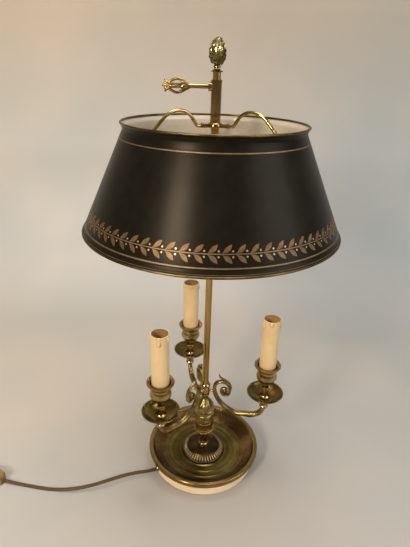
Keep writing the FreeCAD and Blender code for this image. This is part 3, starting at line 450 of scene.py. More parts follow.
def coneTree():
    # scales up an egg: a golden-angle spiral, each scale turned to the egg's own slope
    tree, given, index = newTree("scalesOnEgg", "Radius", "HalfHeight", "Middle", "Taper")
    share = calc(tree, "DIVIDE", calc(tree, "ADD", index, 0.5), given["Count"])
    rise = calc(tree, "MULTIPLY_ADD", share, 1.78, -0.84)  # -1 and 1 are the egg's ends
    angle = calc(tree, "MULTIPLY", index, radians(137.508))
    narrow = calc(tree, "MULTIPLY_ADD", rise, given["Taper"], 1)
    across = calc(tree, "SINE", calc(tree, "ARCCOSINE", rise))
    away = calc(tree, "MULTIPLY", calc(tree, "MULTIPLY", across, given["Radius"]), narrow)
    height = calc(tree, "MULTIPLY_ADD", rise, given["HalfHeight"], given["Middle"])
    lean = calc(tree, "MULTIPLY_ADD", rise, -0.8, -0.02)
    size = calc(tree, "MULTIPLY_ADD", calc(tree, "MULTIPLY", rise, rise), -0.45, 1)
    place = aroundZ(tree, angle, away, height)
    return closeTree(tree, given, copiesAt(tree, given, place, angle, lean, size))


def bandTree():
    # a flat repeat laid in a row, then wrapped on the cone of the shade
    tree, given, index = newTree("bandOnCone", "Radius", "Height", "Slope")
    step = calc(tree, "DIVIDE", calc(tree, "MULTIPLY", given["Radius"], 2 * pi), given["Count"])
    copies = copiesAt(tree, given, vectorOf(tree, calc(tree, "MULTIPLY", index, step)))

    def wrap(real):
        u, w, h = partsOf(tree, wire(tree, "GeometryNodeInputPosition"))
        sine, cosine = (calc(tree, kind, given["Slope"]) for kind in ("SINE", "COSINE"))
        away = calc(tree, "SUBTRACT", given["Radius"], calc(tree, "MULTIPLY", w, sine))
        away = calc(tree, "MULTIPLY_ADD", h, cosine, away)
        height = calc(tree, "MULTIPLY_ADD", w, cosine, given["Height"])
        height = calc(tree, "MULTIPLY_ADD", h, sine, height)
        there = aroundZ(tree, calc(tree, "DIVIDE", u, given["Radius"]), away, height)
        return wire(tree, "GeometryNodeSetPosition", {"Geometry": real, "Position": there})

    return closeTree(tree, given, copies, wrap)


def grow(tree, unit, finish, **measures):
    # runs the tree once and keeps its result as a plain mesh
    source = addObject("unit", unit)
    holder = addObject("holder", bpy.data.meshes.new("holder"))
    modifier = holder.modifiers.new("tree", "NODES")
    modifier.node_group = tree
    given = dict(measures, Piece=source, Finish=finish)
    for item in tree.interface.items_tree:
        if item.in_out == "INPUT" and item.name in given:
            modifier[item.identifier] = given[item.name]
    view = bpy.context.evaluated_depsgraph_get()
    mesh = bpy.data.meshes.new_from_object(holder.evaluated_get(view))
    holder.modifiers.remove(modifier)
    for made in (source, holder):
        bpy.data.objects.remove(made)
    return mesh


ring, eggScales, coneBand = ringTree(), coneTree(), bandTree()


def ringMesh(unit, finish, count, radius, height, first=0):
    return grow(ring, unit, finish, Count=count, Radius=radius * mm, Height=height * mm,
        First=radians(first))


def onArms(name, unit, finish, node, reach=armReach):
    # one unit, drawn about its own axis, set at each arm
    mesh = ringMesh(unit, finish, len(armAzimuths), reach, 0, armAzimuths[1])
    return piece(name, mesh, "base", "aged_brass", [], *["%s_%d" % (node, n) for n in armAzimuths])


# camera, floor and light
view = {"place": (0, -0.6, 0.625), "pitch": 24.45, "roll": 1.87, "yaw": -0.63, "lens": 29.8}


def makeCamera():
    pitch, roll, yaw = (radians(view[k]) for k in ("pitch", "roll", "yaw"))
    ahead = Vector((sin(yaw) * cos(pitch), cos(yaw) * cos(pitch), -sin(pitch)))
    right = Vector((cos(yaw), -sin(yaw), 0))
    up = right.cross(ahead)
    x = right * cos(roll) + up * sin(roll)
    y = up * cos(roll) - right * sin(roll)
    data = bpy.data.cameras.new("camera")
    data.sensor_fit = "AUTO"
    data.sensor_width = 36
    data.lens = view["lens"]
    camera = addObject("camera", data)
    camera.matrix_world = Matrix.Translation(view["place"]) @ Matrix((x, y, -ahead)).transposed().to_4x4()
    bpy.context.scene.camera = camera


stageLook = {"front": -8, "turn": 0.42, "radius": 0.35, "steps": 16, "height": 5, "half": 7,
    "paleFrom": 1.3, "paleTo": 2.4, "pale": (0.56, 0.505, 0.43, 1), "glossShare": 0.3,
    # tones from left to right, darker and cooler to the right as painted shade, from the floor up the
    # wall, and of the soft patches
    "paperShadedRight": [(0, (0.43, 0.4, 0.355)), (0.5, (0.36, 0.335, 0.305)), (1, (0.32, 0.315, 0.295))],
    "paperSpan": (-0.45, 0.45),
    "rise": [(0, (1.14, 1.12, 1.11)), (0.06, (1.25, 1.26, 1.28)), (0.55, (1.48, 1.48, 1.5)),
                      (1, (1.25, 1.12, 0.98))],
    "riseSpan": (0, 0.75),
    "patches": [(0.38, (0.91, 0.94, 0.955)), (0.62, (1.03, 1, 0.98))]}


def seenRays(tree):
    # what the camera sees directly, and a share of what the metal mirrors
    rays = addNode(tree, "ShaderNodeLightPath").outputs
    return calc(tree, "MULTIPLY_ADD", rays["Is Glossy Ray"], stageLook["glossShare"],
        rays["Is Camera Ray"], use_clamp=True)


def makeStage():
    # floor that curves up into the wall behind the lamp
    s = stageLook
    line = [(s["front"], 0), (s["turn"] - 0.2, 0)]
    for i in range(s["steps"] + 1):
        angle = pi / 2 * i / s["steps"]
        line.append((s["turn"] + s["radius"] * sin(angle), s["radius"] * (1 - cos(angle))))
    line.append((s["turn"] + s["radius"], s["height"]))
    points = [(side * s["half"] / mm, y / mm, z / mm) for y, z in line for side in (-1, 1)]
    faces = [[2 * i, 2 * i + 1, 2 * i + 3, 2 * i + 2] for i in range(len(line) - 1)]
    material, tree, shader, place = finishOf("paleFloor", Roughness=0.6)
    where = place["Object"]
    x, _, z = partsOf(tree, where)
    # painted shade: the left-to-right tone darkens the floor and wall towards the right
    colour = mix(tree, ramp(tree, span(tree, x, 0, 1, *s["paperSpan"]), *s["paperShadedRight"]),
        ramp(tree, noise(tree, where, 3, 2, 0.5), *s["patches"]))
    colour = mix(tree, colour, ramp(tree, span(tree, z, 0, 1, *s["riseSpan"]), *s["rise"]))
    tree.links.new(colour, shader.inputs["Base Color"])
    reach = span(tree, lengthOf(tree, where), 0, 1, s["paleFrom"], s["paleTo"])
    far = calc(tree, "MULTIPLY", reach, seenRays(tree))
    glow = wire(tree, "ShaderNodeEmission", {"Color": s["pale"]})
    clear = wire(tree, "ShaderNodeBsdfTransparent")
    behind = wire(tree, "ShaderNodeNewGeometry", None, "Backfacing")
    near = wire(tree, "ShaderNodeMixShader", {0: far, 1: shader.outputs[0], 2: glow})
    whole = wire(tree, "ShaderNodeMixShader", {0: behind, 1: near, 2: clear})
    tree.links.new(whole, tree.nodes["Material Output"].inputs["Surface"])
    floor = piece("floor", meshFrom(points, faces, 80, fix=False), None, None, [material])


lamps = [
    {"place": (-0.85, -1.35, 1.2), "aim": (0, 0, 0.3), "size": 0.42, "watts": 24, "colour": (1, 0.92,
    0.8)},
    {"place": (1.5, -0.75, 1.2), "aim": (0, 0, 0.3), "size": 1.3, "watts": 15, "colour": (0.88, 0.94, 1)},
    {"place": (0.15, 0.1, 2.3), "aim": (0, 0.1, 0), "size": 1.1, "watts": 24, "colour": (1, 0.96, 0.9)},
]
room = {"strength": 0.75, "tones": [(0.42, (0.05, 0.04, 0.032)), (0.62, (0.07, 0.062, 0.055)),
                                    (0.78, (0.3, 0.29, 0.28)), (0.95, (0.95, 0.92, 0.88))]}


def makeLight():
    for number, lamp in enumerate(lamps):
        data = bpy.data.lights.new("light%d" % number, "AREA")
        data.shape = "DISK"
        data.size, data.energy, data.color = lamp["size"], lamp["watts"], lamp["colour"]
        made = addObject("light%d" % number, data)
        place = Vector(lamp["place"])
        made.location = place
        made.rotation_euler = (Vector(lamp["aim"]) - place).to_track_quat("-Z", "Y").to_euler()
    world = bpy.data.worlds.new("room")
    world.use_nodes = True
    tree = world.node_tree
    height = partsOf(tree, wire(tree, "ShaderNodeTexCoord", None, "Generated"))[2]
    back = tree.nodes["Background"]
    tree.links.new(ramp(tree, span(tree, height, 0, 1, -1, 1), *room["tones"]), back.inputs["Color"])
    back.inputs["Strength"].default_value = room["strength"]
    pale = wire(tree, "ShaderNodeBackground", {"Color": stageLook["pale"]})
    both = wire(tree, "ShaderNodeMixShader", {0: seenRays(tree), 1: back.outputs[0], 2: pale})
    tree.links.new(both, tree.nodes["World Output"].inputs["Surface"])
    bpy.context.scene.world = world
    bpy.context.scene.view_settings.view_transform = "Standard"


makeCamera()
makeStage()
makeLight()
print("camera, floor and light set")

# the cord
cord = {
    "width": 5.4, "core": 1.6, "sides": 20, "length": 1.9,
    "exitAzimuth": 209.5, "exitHeight": 8, "exitReach": 88.16,
    "lead": [(-88, -49.6, 8.3), (-106, -54, 9.8), (-130, -63.5, 11.5), (-152, -74.5, 12),
        (-176, -84, 10), (-203, -88.2, 5.6), (-231, -88.5, 2.3), (-256, -86.3, 1.7), (-284, -82, 1.8),
        (-307, -78.8, 3.2)],
    "switchNear": (-322, -76.5, 5), "switchFar": (-383.29, -67.13, 5),
    "link": [(-397, -65.2, 2.6), (-424, -63.3, 1.7)],
    "coilCentre": (-456, -21), "floorHeight": 1.7, "layerStep": 3.4, "climbFrom": 7,
    "coilRadii": [44.1, 41.15, 38.2, 35.25, 32.3, 29.35, 26.4, 21.65, 21.65, 26.4, 29.35, 32.3, 35.25,
        38.2, 41.15, 44.1],
    "halfTurns": 14.5, "perHalfTurn": 8,
    "tail": [(-498.6, -5.5, 5.2), (-498.6, 8, 6.4), (-498.6, 22.6, 6.9)],
    "rolls": [(0, 62), (0.05, 48), (0.11, 20), (0.17, 8), (0.24, 0), (2, 0)],  # metres along, degrees
}


def cordRoute():
    c = cord
    route = [polar(c["exitReach"], c["exitAzimuth"], c["exitHeight"])]
    route += [Vector(p) for p in c["lead"]]
    near, far = Vector(c["switchNear"]), Vector(c["switchFar"])
    route += [near, near.lerp(far, 0.5), far]
    route += [Vector(p) for p in c["link"]]
    inside = cos(pi / (2 * c["perHalfTurn"]))  # the line runs inside its control points
    for i in range(int(c["halfTurns"] * c["perHalfTurn"]) + 1):
        turns = i / c["perHalfTurn"]
        radius = sizesAt(list(enumerate(c["coilRadii"])), turns)[0]
        angle = radians(-90 - 180 * turns)
        climb = min(1, max(0, turns - c["climbFrom"]))
        route.append(Vector((c["coilCentre"][0] + radius / inside * cos(angle),
                c["coilCentre"][1] + radius / inside * sin(angle),
                c["floorHeight"] + c["layerStep"] * climb)))
    return route + [Vector(p) for p in c["tail"]]


def splineLine(points):
    curve = bpy.data.curves.new("route", "CURVE")
    curve.dimensions = "3D"
    spline = curve.splines.new("NURBS")
    spline.points.add(len(points) - 1)
    for point, here in zip(spline.points, points):
        point.co = (*(here * mm), 1)
    spline.order_u = 3
    spline.use_endpoint_u = True
    spline.resolution_u = 10
    made = addObject("route", curve)
    mesh = bpy.data.meshes.new_from_object(made)
    line = [vert.co.copy() for vert in mesh.vertices]
    bpy.data.objects.remove(made)
    return line


def makeCord():
    line = splineLine(cordRoute())
    section = []
    half, core, sides = cord["width"] / 2, cord["core"], cord["sides"]
    for k in range(sides):
        turn = 2 * pi * k / sides
        u = half * cos(turn)
        v = sqrt(max(0, core ** 2 - (abs(u) - (half - core)) ** 2))
        section.append((u * mm, copysign(v, sin(turn)) * mm if k % (sides // 2) else 0))
    points, faces, coords = [], [], []
    travelled = 0
    up = Vector((0, 0, 1))
    for i, here in enumerate(line):
        if i:
            travelled += (here - line[i - 1]).length
        ahead = (line[min(i + 1, len(line) - 1)] - line[max(i - 1, 0)]).normalized()
        across = ahead.cross(up).normalized()
        above = across.cross(ahead)
        roll = radians(sizesAt(cord["rolls"], travelled)[0])
        for k, (u, v) in enumerate(section):
            points.append(here + across * (u * cos(roll) - v * sin(roll))
                + above * (u * sin(roll) + v * cos(roll)))
            coords.append((k / sides, travelled))
    for i in range(len(line) - 1):
        for k in range(sides):
            m = (k + 1) % sides
            faces.append([i * sides + k, (i + 1) * sides + k, (i + 1) * sides + m, i * sides + m])
    faces.append(list(range(sides)))
    faces.append([(len(line) - 1) * sides + k for k in reversed(range(sides))])
    mesh = meshFrom([p / mm for p in points], faces, 60, fix=False)
    layer = mesh.uv_layers.new(name="UVMap")
    for polygon in mesh.polygons:
        places = [mesh.loops[k].vertex_index for k in polygon.loop_indices]
        wraps = len({v % sides for v in places} & {0, sides - 1}) == 2 and len(places) == 4
        for k, vertex in zip(polygon.loop_indices, places):
            u, v = coords[vertex]
            layer.data[k].uv = (1 if wraps and vertex % sides == 0 else u, v)
    made = piece("flatCord", mesh, "base", "cord_sheath", [cordSheath],
        "cord_lead", "cord_link", "cord_coil")
    print("cord laid, %.3f m" % travelled)


makeCord()

# the shade
shade = {"top": 560, "bottom": 427, "topRadius": 116.5, "bottomRadius": 169.5, "flare": 6.5,
    "topFlare": 2.2, "bottomFlare": 3.8, "curl": 1.3, "wall": 0.8, "segments": 256,
    "topSteps": 6, "sideSteps": 12, "bottomSteps": 7}
sideTop, sideBottom = shade["top"] - shade["flare"], shade["bottom"] + shade["flare"]
slope = atan2(shade["bottomRadius"] - shade["topRadius"],
    shade["top"] - shade["bottom"] - 2 * shade["flare"])


def shadeRadius(height):
    # of the straight side, and of the flare under it
    if height < sideBottom:
        below = (sideBottom - height) / shade["flare"]
        return shade["bottomRadius"] + shade["bottomFlare"] * below ** shade["curl"]
    share = (sideTop - height) / (sideTop - sideBottom)
    return shade["topRadius"] + (shade["bottomRadius"] - shade["topRadius"]) * share


def makeShade():
    s = shade
    outer = []
    for i in range(s["topSteps"] + 1):
        t = i / s["topSteps"]
        outer.append((s["topRadius"] + s["topFlare"] * (1 - t) ** 2, s["top"] - s["flare"] * t))
    for i in range(1, s["sideSteps"]):
        z = sideTop + (sideBottom - sideTop) * i / s["sideSteps"]
        outer.append((shadeRadius(z), z))
    for i in range(s["bottomSteps"] + 1):
        z = sideBottom - s["flare"] * i / s["bottomSteps"]
        outer.append((shadeRadius(z), z))
    inner = [(r - s["wall"], z) for r, z in reversed(outer)]
    mesh = turnedMesh(outer + inner, s["segments"], 35)
    piece("shadeSkin", mesh, "carrier", "shade_paint", [shadePaint, shadeWhite], "shade")
    secondFinish(mesh, lambda polygon: polygon.normal.xy.dot(polygon.center.xy) < 0)


bandLook = {"count": 67, "height": 448.6, "leafLength": 14.8, "leafAngle": 41, "leafWidth": 5.3,
    "leafFrom": 0.6, "bend": 0.7, "widths": [0, 0.16, 0.5, 0.84, 1, 0.97, 0.78, 0.44, 0],
    "thick": 0.16, "sink": 0.06, "berry": 1.1, "berryAlong": 12.6, "berryOut": 3.1, "berrySides": 10,
    "lines": {"bandStem": (448.6, 1), "upperLine": (544.2, 1.2), "lowerLine": (434.6, 1.4),
        "rimLine": (428.2, 1.2)},
    "lineSink": 0.05, "lineThick": 0.14}


def flatShape(outline):
    count = len(outline)
    points = [(x, y, z) for z in (-bandLook["sink"], bandLook["thick"]) for x, y in outline]
    faces = [list(reversed(range(count))), list(range(count, 2 * count))]
    for i in range(count):
        j = (i + 1) % count
        faces.append([i, j, count + j, count + i])
    return meshFrom(points, faces, 30)


def bandUnit():
    b = bandLook
    leaves, berries = [], []
    for side in (1, -1):
        turn = radians(b["leafAngle"]) * side
        outline = []
        for edge in (1, -1):
            run = list(enumerate(b["widths"]))
            run = run if edge == 1 else list(reversed(run))[1:-1]
            for i, w in run:
                t = i / (len(b["widths"]) - 1)
                x = b["leafFrom"] + t * b["leafLength"]
                y = edge * w * b["leafWidth"] / 2 - b["bend"] * sin(pi * t) * side
                outline.append((x * cos(turn) - y * sin(turn), x * sin(turn) + y * cos(turn)))
        leaves.append(flatShape(outline))
        middle = Vector((b["berryAlong"], side * b["berryOut"], 0))
        turns = [360 * k / b["berrySides"] for k in range(b["berrySides"])]
        berries.append(flatShape([(middle + polar(b["berry"], turn, 0)).xy for turn in turns]))
    return joinMeshes(*leaves), joinMeshes(*berries)


def makeBand():
    b = bandLook
    for name, unit, finish in zip(("leafBand", "berryBand"), bandUnit(), (leafGold, berryGold)):
        mesh = grow(coneBand, unit, finish, Count=b["count"], Radius=shadeRadius(b["height"]) * mm,
            Height=b["height"] * mm, Slope=slope)
        piece(name, mesh, "carrier", "gilt_wire", [])
    for name, (height, width) in b["lines"].items():
        low, high = height - width / 2, height + width / 2
        lowRadius, highRadius = shadeRadius(low), shadeRadius(high)
        if height < sideBottom:
            lowRadius = highRadius = shadeRadius(height)
        outline = [(lowRadius - b["lineSink"], low), (lowRadius + b["lineThick"], low),
                   (highRadius + b["lineThick"], high), (highRadius - b["lineSink"], high)]
        piece(name, turnedMesh(outline, shade["segments"], 30), "carrier", "gilt_wire", [lineGold])


makeShade()
makeBand()
print("shade and its leaf band made")

# dish, foot and stem
dishLook = {"segments": 192, "outline": [(3, 14), (60, 14), (68, 14.6), (74, 18), (84, 26), (86.6, 29.2),
    (91.2, 29.6), (91.6, 25.2), (92.2, 24.5), (93, 24.7), (93.5, 25.6), (93.6, 30.6), (93.1, 31.8),
    (91.8, 32.4), (90.6, 32), (89.8, 32.4), (88.6, 32.2), (87.4, 31.6), (86.4, 30.4), (84.8, 28.4),
    (82, 25.8), (70.6, 18), (68, 16.5), (64.5, 16), (64, 16.3), (63.2, 16.3), (62.7, 16), (52.4, 16),
    (52, 16.2), (51.4, 16.2), (51, 16), (40, 16), (39.6, 16.3), (38.8, 16.3), (38.4, 16), (3, 16)]}
footLook = {"segments": 160, "flutes": 44, "fluteAt": (31.2, 21.3), "fluteSize": (4.3, 0.85, 1),
    "lean": 29, "outline": [(3, 16), (35.6, 16), (35.9, 16.5), (35.4, 17), (34.4, 17.6), (26.8, 22.2),
        (26.2, 23.6), (25.2, 24.3), (24.2, 23.8), (22.8, 23.8), (22.2, 24.8), (21.2, 25), (20.4, 24.6),
        (18.6, 24.8), (17.8, 26.2), (16.4, 26.3), (15.6, 25.8), (14.2, 26.2), (12.4, 26.8), (10.2, 27),
        (9.4, 28), (3, 28)]}


def makeFoot():
    dish = turnedMesh(dishLook["outline"], dishLook["segments"], 50)
    piece("dishBowl", dish, "base", "aged_brass", [dishBrass], "dish")
    f = footLook
    body = turnedMesh(f["outline"], f["segments"])
    bar = ballMesh(1, stretch=f["fluteSize"], detail=3)
    bar.transform(Matrix.Rotation(radians(f["lean"]), 4, "Y"))
    # the flutes' bright gold is a painted highlight
    bars = ringMesh(bar, fluteHighlightGold, f["flutes"], *f["fluteAt"])
    secondFinish(bars)
    piece("fluteFoot", joinMeshes(body, bars), "base", "aged_brass", [footBrown, fluteHighlightGold], "stem_foot")


stemLook = {  # node, finish, bore, outline
    "stemNeck": ("stem_neck", agedBrass, tieBore, smoothLine(
        [(8, 28), (8.2, 29.4), (6.6, 31), (5.4, 35), (5.2, 40), (5.6, 44), (7.4, 46.6), (7.6, 49)])),
    "stemDrum": ("stem_drum", chasedBrass, tieBore, [
        (14.8, 64), (15.2, 65.4), (14.2, 66), (14.4, 67.4),
        *smoothLine([(14.6, 68), (15.7, 74), (16, 80)]),
        (15.3, 80.6), (15.3, 81.4), (16.1, 82), (16.1, 85.8), (15.3, 86.4), (15.3, 87.2), (16, 87.8),
        (15.9, 96), (15, 97), (14, 98.6), (14, 101)]),
    "stemCollar": ("stem_collar", agedBrass, 5.06, [(5.8, 131), (6.2, 132), (7.2, 133.2), (7.6, 135),
        (7.2, 136.6), (6.2, 137.6), (6, 139), (6.6, 139.6), (7.6, 140.2), (7.6, 147), (6.6, 147.6),
        (6.2, 148.6), (6.3, 150.8), (7.6, 151.8), (8.5, 153.2), (8, 154.6), (7, 155.6), (6.6, 156.4),
        (6.6, 158)]),
}
ringLook = {"outline": [(3.05, 49), (7.4, 49), (8.8, 50.2), (11.6, 52.8), (13.8, 56.4), (14.9, 59.8),
    (14.4, 60.6), (14.9, 61.4), (14.9, 63.4), (14.4, 64), (3.05, 64)],
    "segments": 240, "lobes": 24, "lobeDepth": 0.55, "lobeMiddle": 0.25, "lobeRows": (2, 5),
    "bead": 1.4, "beads": 36, "beadsAt": (15.6, 62.4)}
vaseLook = {"outline": [(13.8, 101), (14.6, 102.6), (16.6, 104.2), (17, 105.8), (16.2, 107.2),
    (15.9, 109.2), (15.1, 112.6), (13.4, 116.6), (10.7, 120.6), (7.7, 124.4), (5.4, 128.4), (5.8, 131)],
    "segments": 240, "leaves": 8, "leavesFrom": 109, "leavesTo": 126, "leafDepth": 0.6, "leafMiddle": 0.3}


def bored(outline, bore):
    return [(bore, outline[0][1]), *outline, (bore, outline[-1][1])]


def makeStem():
    for name, (node, finish, bore, outline) in stemLook.items():
        piece(name, turnedMesh(bored(outline, bore)), "base", "aged_brass", [finish], node)

    r = ringLook

    def gadroon(angle, index):
        if not r["lobeRows"][0] <= index <= r["lobeRows"][1]:
            return 0
        return r["lobeDepth"] * abs(cos(r["lobes"] / 2 * angle)) - r["lobeMiddle"]

    cup = turnedMesh(r["outline"], r["segments"], 50, gadroon)
    beads = ringMesh(ballMesh(r["bead"]), polishedBrass, r["beads"], *r["beadsAt"])
    secondFinish(beads)
    piece("beadRing", joinMeshes(cup, beads), "base", "aged_brass", [chasedBrass, polishedBrass],
        "bead_ring")

    v = vaseLook
    outline = bored(smoothLine(v["outline"]), tieBore)

    def leafy(angle, index):
        share = (outline[index][1] - v["leavesFrom"]) / (v["leavesTo"] - v["leavesFrom"])
        if not 0 < share < 1:
            return 0
        leaf = abs(cos(v["leaves"] / 2 * angle)) ** 0.7
        return sin(pi * share) * (v["leafDepth"] * leaf - v["leafMiddle"])

    vase = turnedMesh(outline, v["segments"], 60, leafy)
    piece("stemVase", vase, "base", "aged_brass", [chasedBrass], "stem_vase")


makeFoot()
makeStem()
print("dish, foot and stem turned")

# scrolled arms
armLook = {
    "start": (97, 133.5), "sweep": [(29.5, 90), (54.6, 55.5), (41, 34.5)],
    "volute": [(13.5, 90), (12, 88), (60, 7), (7.2, 150), (6.4, 90), (5, 80)],
    "step": 1.2, "sides": 24,
    # share of the sweep, then of the volute: width and thickness of the strap
    "sweepSizes": [(0, 7, 7), (0.12, 8.6, 8.2), (0.28, 9.8, 8.6), (0.5, 9.6, 8), (0.75, 9, 6.8),
        (1, 8.6, 6.2)],
    "voluteSizes": [(0, 8.6, 6.2), (0.3, 8, 4.8), (0.6, 7.4, 4.4), (1, 6.6, 3.6)],
    "lift": (4.5, 46, 96.5),  # the sweep's height over its arcs, between two distances from the stem
    "knots": {"depth": 0.35, "beat": 1.6, "until": 0.4},
    "channel": {"depth": 0.34, "width": 0.3}, "ridge": {"depth": 0.1, "place": 0.55, "width": 0.2},
    "button": 4.3, "buttonAt": (33.2, 0, 146.6), "knob": 1.6, "knobFrom": (0.2, 0, 0.5),
    "leaf": [(43, 152), (42, 157.4), (38.8, 163.2), (33.6, 167.4), (28.4, 170), (24.4, 172.2),
        (22.8, 175.6)],
    "leafSizes": (1, 1.9, 2.2, 2, 1.7, 1.5, 1.2),
    "under": [(58, 107), (67, 106), (77, 106.6), (87, 110.6), (93.6, 117)],
    "underSizes": (1.6, 3, 3.6, 3, 0.7),
    "bracket": [(7, 0, 143.5), (9, 0, 143.5), (11, 0, 143.4), (16, 0, 143.2)],
    "bracketSizes": [3, 2.3, 2.2, 2.8],
    "eye": [(0, 127), (3, 127.2), (5.2, 128.6), (6, 130.6), (6.8, 132), (6.4, 133.6), (5.4, 134.6),
        (5.6, 137), (6.8, 138.8), (7.4, 140.4), (6.6, 142.3), (0, 142.3)],
    "petals": 8, "petalDepth": 0.4, "petalRows": (2, 3, 4, 7, 8, 9),
}


def arcsLine(start, heading, arcs, step):
    x, z = start
    angle = radians(heading)
    line = [(x, z)]
    for radius, bend in arcs:
        count = max(4, int(radius * radians(bend) / step))
        turn = radians(bend) / count
        for _ in range(count):
            chord = 2 * radius * sin(turn / 2)
            angle -= turn / 2
            x += chord * cos(angle)
            z += chord * sin(angle)
            angle -= turn / 2
            line.append((x, z))
    return line, degrees(angle)


def strapMesh():
    a = armLook
    sweep, heading = arcsLine(a["start"], -90, a["sweep"], a["step"])
    volute, _ = arcsLine(sweep[-1], heading, a["volute"], a["step"])
    rise, near, far = a["lift"]
    shares = [min(1, max(0, (x - near) / (far - near))) for x, z in sweep]
    sweep = [(x, z + rise * sin(pi * part) ** 2) for (x, z), part in zip(sweep, shares)]
    line = sweep + volute[1:]
    count, sides = len(line), a["sides"]
    share = len(sweep) / count
    points = []
    for i, (x, z) in enumerate(line):
        a0, a1 = line[max(i - 1, 0)], line[min(i + 1, count - 1)]
        ahead = Vector((a1[0] - a0[0], 0, a1[1] - a0[1])).normalized()
        out = Vector((-ahead.z, 0, ahead.x))
        t = i / (count - 1)
        if t < share:
            width, thick = sizesAt(a["sweepSizes"], t / share)
        else:
            width, thick = sizesAt(a["voluteSizes"], (t - share) / (1 - share))
        knots, channel, ridge = a["knots"], a["channel"], a["ridge"]
        knot = knots["depth"] * cos(i * knots["beat"]) if t < share * knots["until"] else 0
        for j in range(sides):
            turn = 2 * pi * j / sides
            u, v = cos(turn), sin(turn)
            relief = (1 - channel["depth"] * exp(-(u / channel["width"]) ** 2)
                + ridge["depth"] * exp(-((abs(u) - ridge["place"]) / ridge["width"]) ** 2))
            side = Vector((0, u * width / 2, 0))
            points.append(Vector((x, 0, z)) + side + out * (v * (thick / 2 + knot) * relief))
    return meshFrom(points, tubeFaces(count, sides), 60)


def softBar(points, sizes):
    # a bar with its sizes spread evenly over a soft line
    line = smoothLine([(x, 0, z) for x, z in points])
    rows = [(i / (len(sizes) - 1), size) for i, size in enumerate(sizes)]
    return barMesh(line, [sizesAt(rows, k / (len(line) - 1))[0] for k in range(len(line))])


def makeArms():
    a = armLook

    def petals(angle, index):
        if index not in a["petalRows"]:
            return 0
        return a["petalDepth"] * abs(cos(a["petals"] / 2 * angle))

    leafTip = Vector((a["leaf"][-1][0], 0, a["leaf"][-1][1]))
    unit = joinMeshes(
        strapMesh(), ballMesh(a["button"], a["buttonAt"], (1, 0.95, 1), 3),
        softBar(a["leaf"], a["leafSizes"]), ballMesh(a["knob"], leafTip + Vector(a["knobFrom"])),
        softBar(a["under"], a["underSizes"]), turnedMesh(a["eye"], 96, 50, petals, (armReach, 0)),
        barMesh(a["bracket"], a["bracketSizes"], 16))
    onArms("scrollArms", unit, chasedBrass, "lamp_arm", 0)


makeArms()
print("arms scrolled")

# pans, cups and sleeves; the upper finish lies above a height
pansAndCups = {
    "dripPans": {
        "node": "drip_pan", "finish": oliveBrass, "upper": agedBrass, "upperFrom": 159.5, "sharp": 50,
        "bead": 1.45, "stretch": (1.5, 1, 0.8), "beads": 38, "beadsAt": (27, 159.3),
        "outline": [(4.85, 142.5), (6, 142.5), (6.6, 144.4), (7.6, 146.6), (10, 149.2), (15, 150.8),
            (20.5, 152.4), (24.8, 154.8), (27, 157), (28.4, 158.4), (28.5, 159.2), (27.6, 159.6),
            (26.2, 158.6), (24.4, 156.8), (20, 153.9), (14.8, 152.3), (10, 151.1), (4.85, 151.1)]},
    "candleCups": {
        "node": "candle_cup", "finish": agedBrass, "upper": oliveBrass, "upperFrom": 204, "sharp": 45,
        "bead": 1.25, "stretch": (1.5, 0.75, 0.55), "beads": 34, "beadsAt": (18.2, 211.2),
        "outline": [(4.85, 151.1), (8.6, 151.1), (8.8, 151.8), (7.4, 152.8), (5.8, 154.4), (5.3, 156.6),
            (5.2, 160), (5.6, 161.6), (6.5, 163), (6.8, 164.6), (6.5, 166.2), (5.6, 167.6), (5.2, 169.6),
            (5.2, 172.6), (5.6, 175.2), (6.8, 176.2), (7.2, 177.2), (6.8, 178), (7.4, 179), (7.2, 180),
            (9.4, 181), (12.8, 183), (15.2, 186.4), (16.2, 190), (15.8, 193.4), (14.6, 196.4),
            (13.9, 198.2), (14.4, 199.2), (14.4, 200.8), (13.9, 201.8), (14.8, 203.6), (17.2, 206.2),
            (19.7, 208.4), (20.5, 209.8), (20.6, 210.8), (20, 211.9), (19, 212.1), (17.2, 210.9),
            (15.2, 209.9), (14.7, 209.2), (14.5, 207.2), (13.15, 205.4), (13.15, 198.7), (4.85, 198.7)]},
}


def makeCups():
    for name, c in pansAndCups.items():
        bead = ballMesh(c["bead"], stretch=c["stretch"])
        beads = ringMesh(bead, c["finish"], c["beads"], *c["beadsAt"])
        unit = joinMeshes(turnedMesh(c["outline"], 96, c["sharp"]), beads)
        made = onArms(name, unit, c["finish"], c["node"])
        made.data.materials.append(c["upper"])
        secondFinish(made.data, lambda polygon: polygon.center.z / mm > c["upperFrom"])


sleeveLook = {"bottom": 198.8, "top": 292.6, "radius": 13, "wall": 0.9, "segments": 240, "rimStep": 0.15,
    "plain": 40, "waxed": 22, "rows": 52, "rowStep": 0.42,
    "groove": 0.4, "trail": 0.42, "trailWidth": 0.8, "trailFrom": 1.5, "faint": 0.05, "drips": {
    # azimuth, fall below the rim, width, proud
    1: [(180, 8.5, 4.4, 2.1), (270, 13, 4.8, 1.9), (335, 9, 4.4, 2.1), (90, 12, 5, 1.2), (35, 7, 4, 1.1)],
    2: [(205, 11.5, 4.6, 2.1), (262, 6.5, 4.6, 1.6), (350, 12.5, 4.6, 2.1), (100, 14, 5, 1.2),
    (50, 8, 4, 1.1)],
    3: [(190, 8, 4.6, 2.1), (345, 8.5, 4.6, 2.1), (270, 5, 4, 1.3), (90, 13, 5, 1.2), (40, 9, 4, 1.1)],
}}


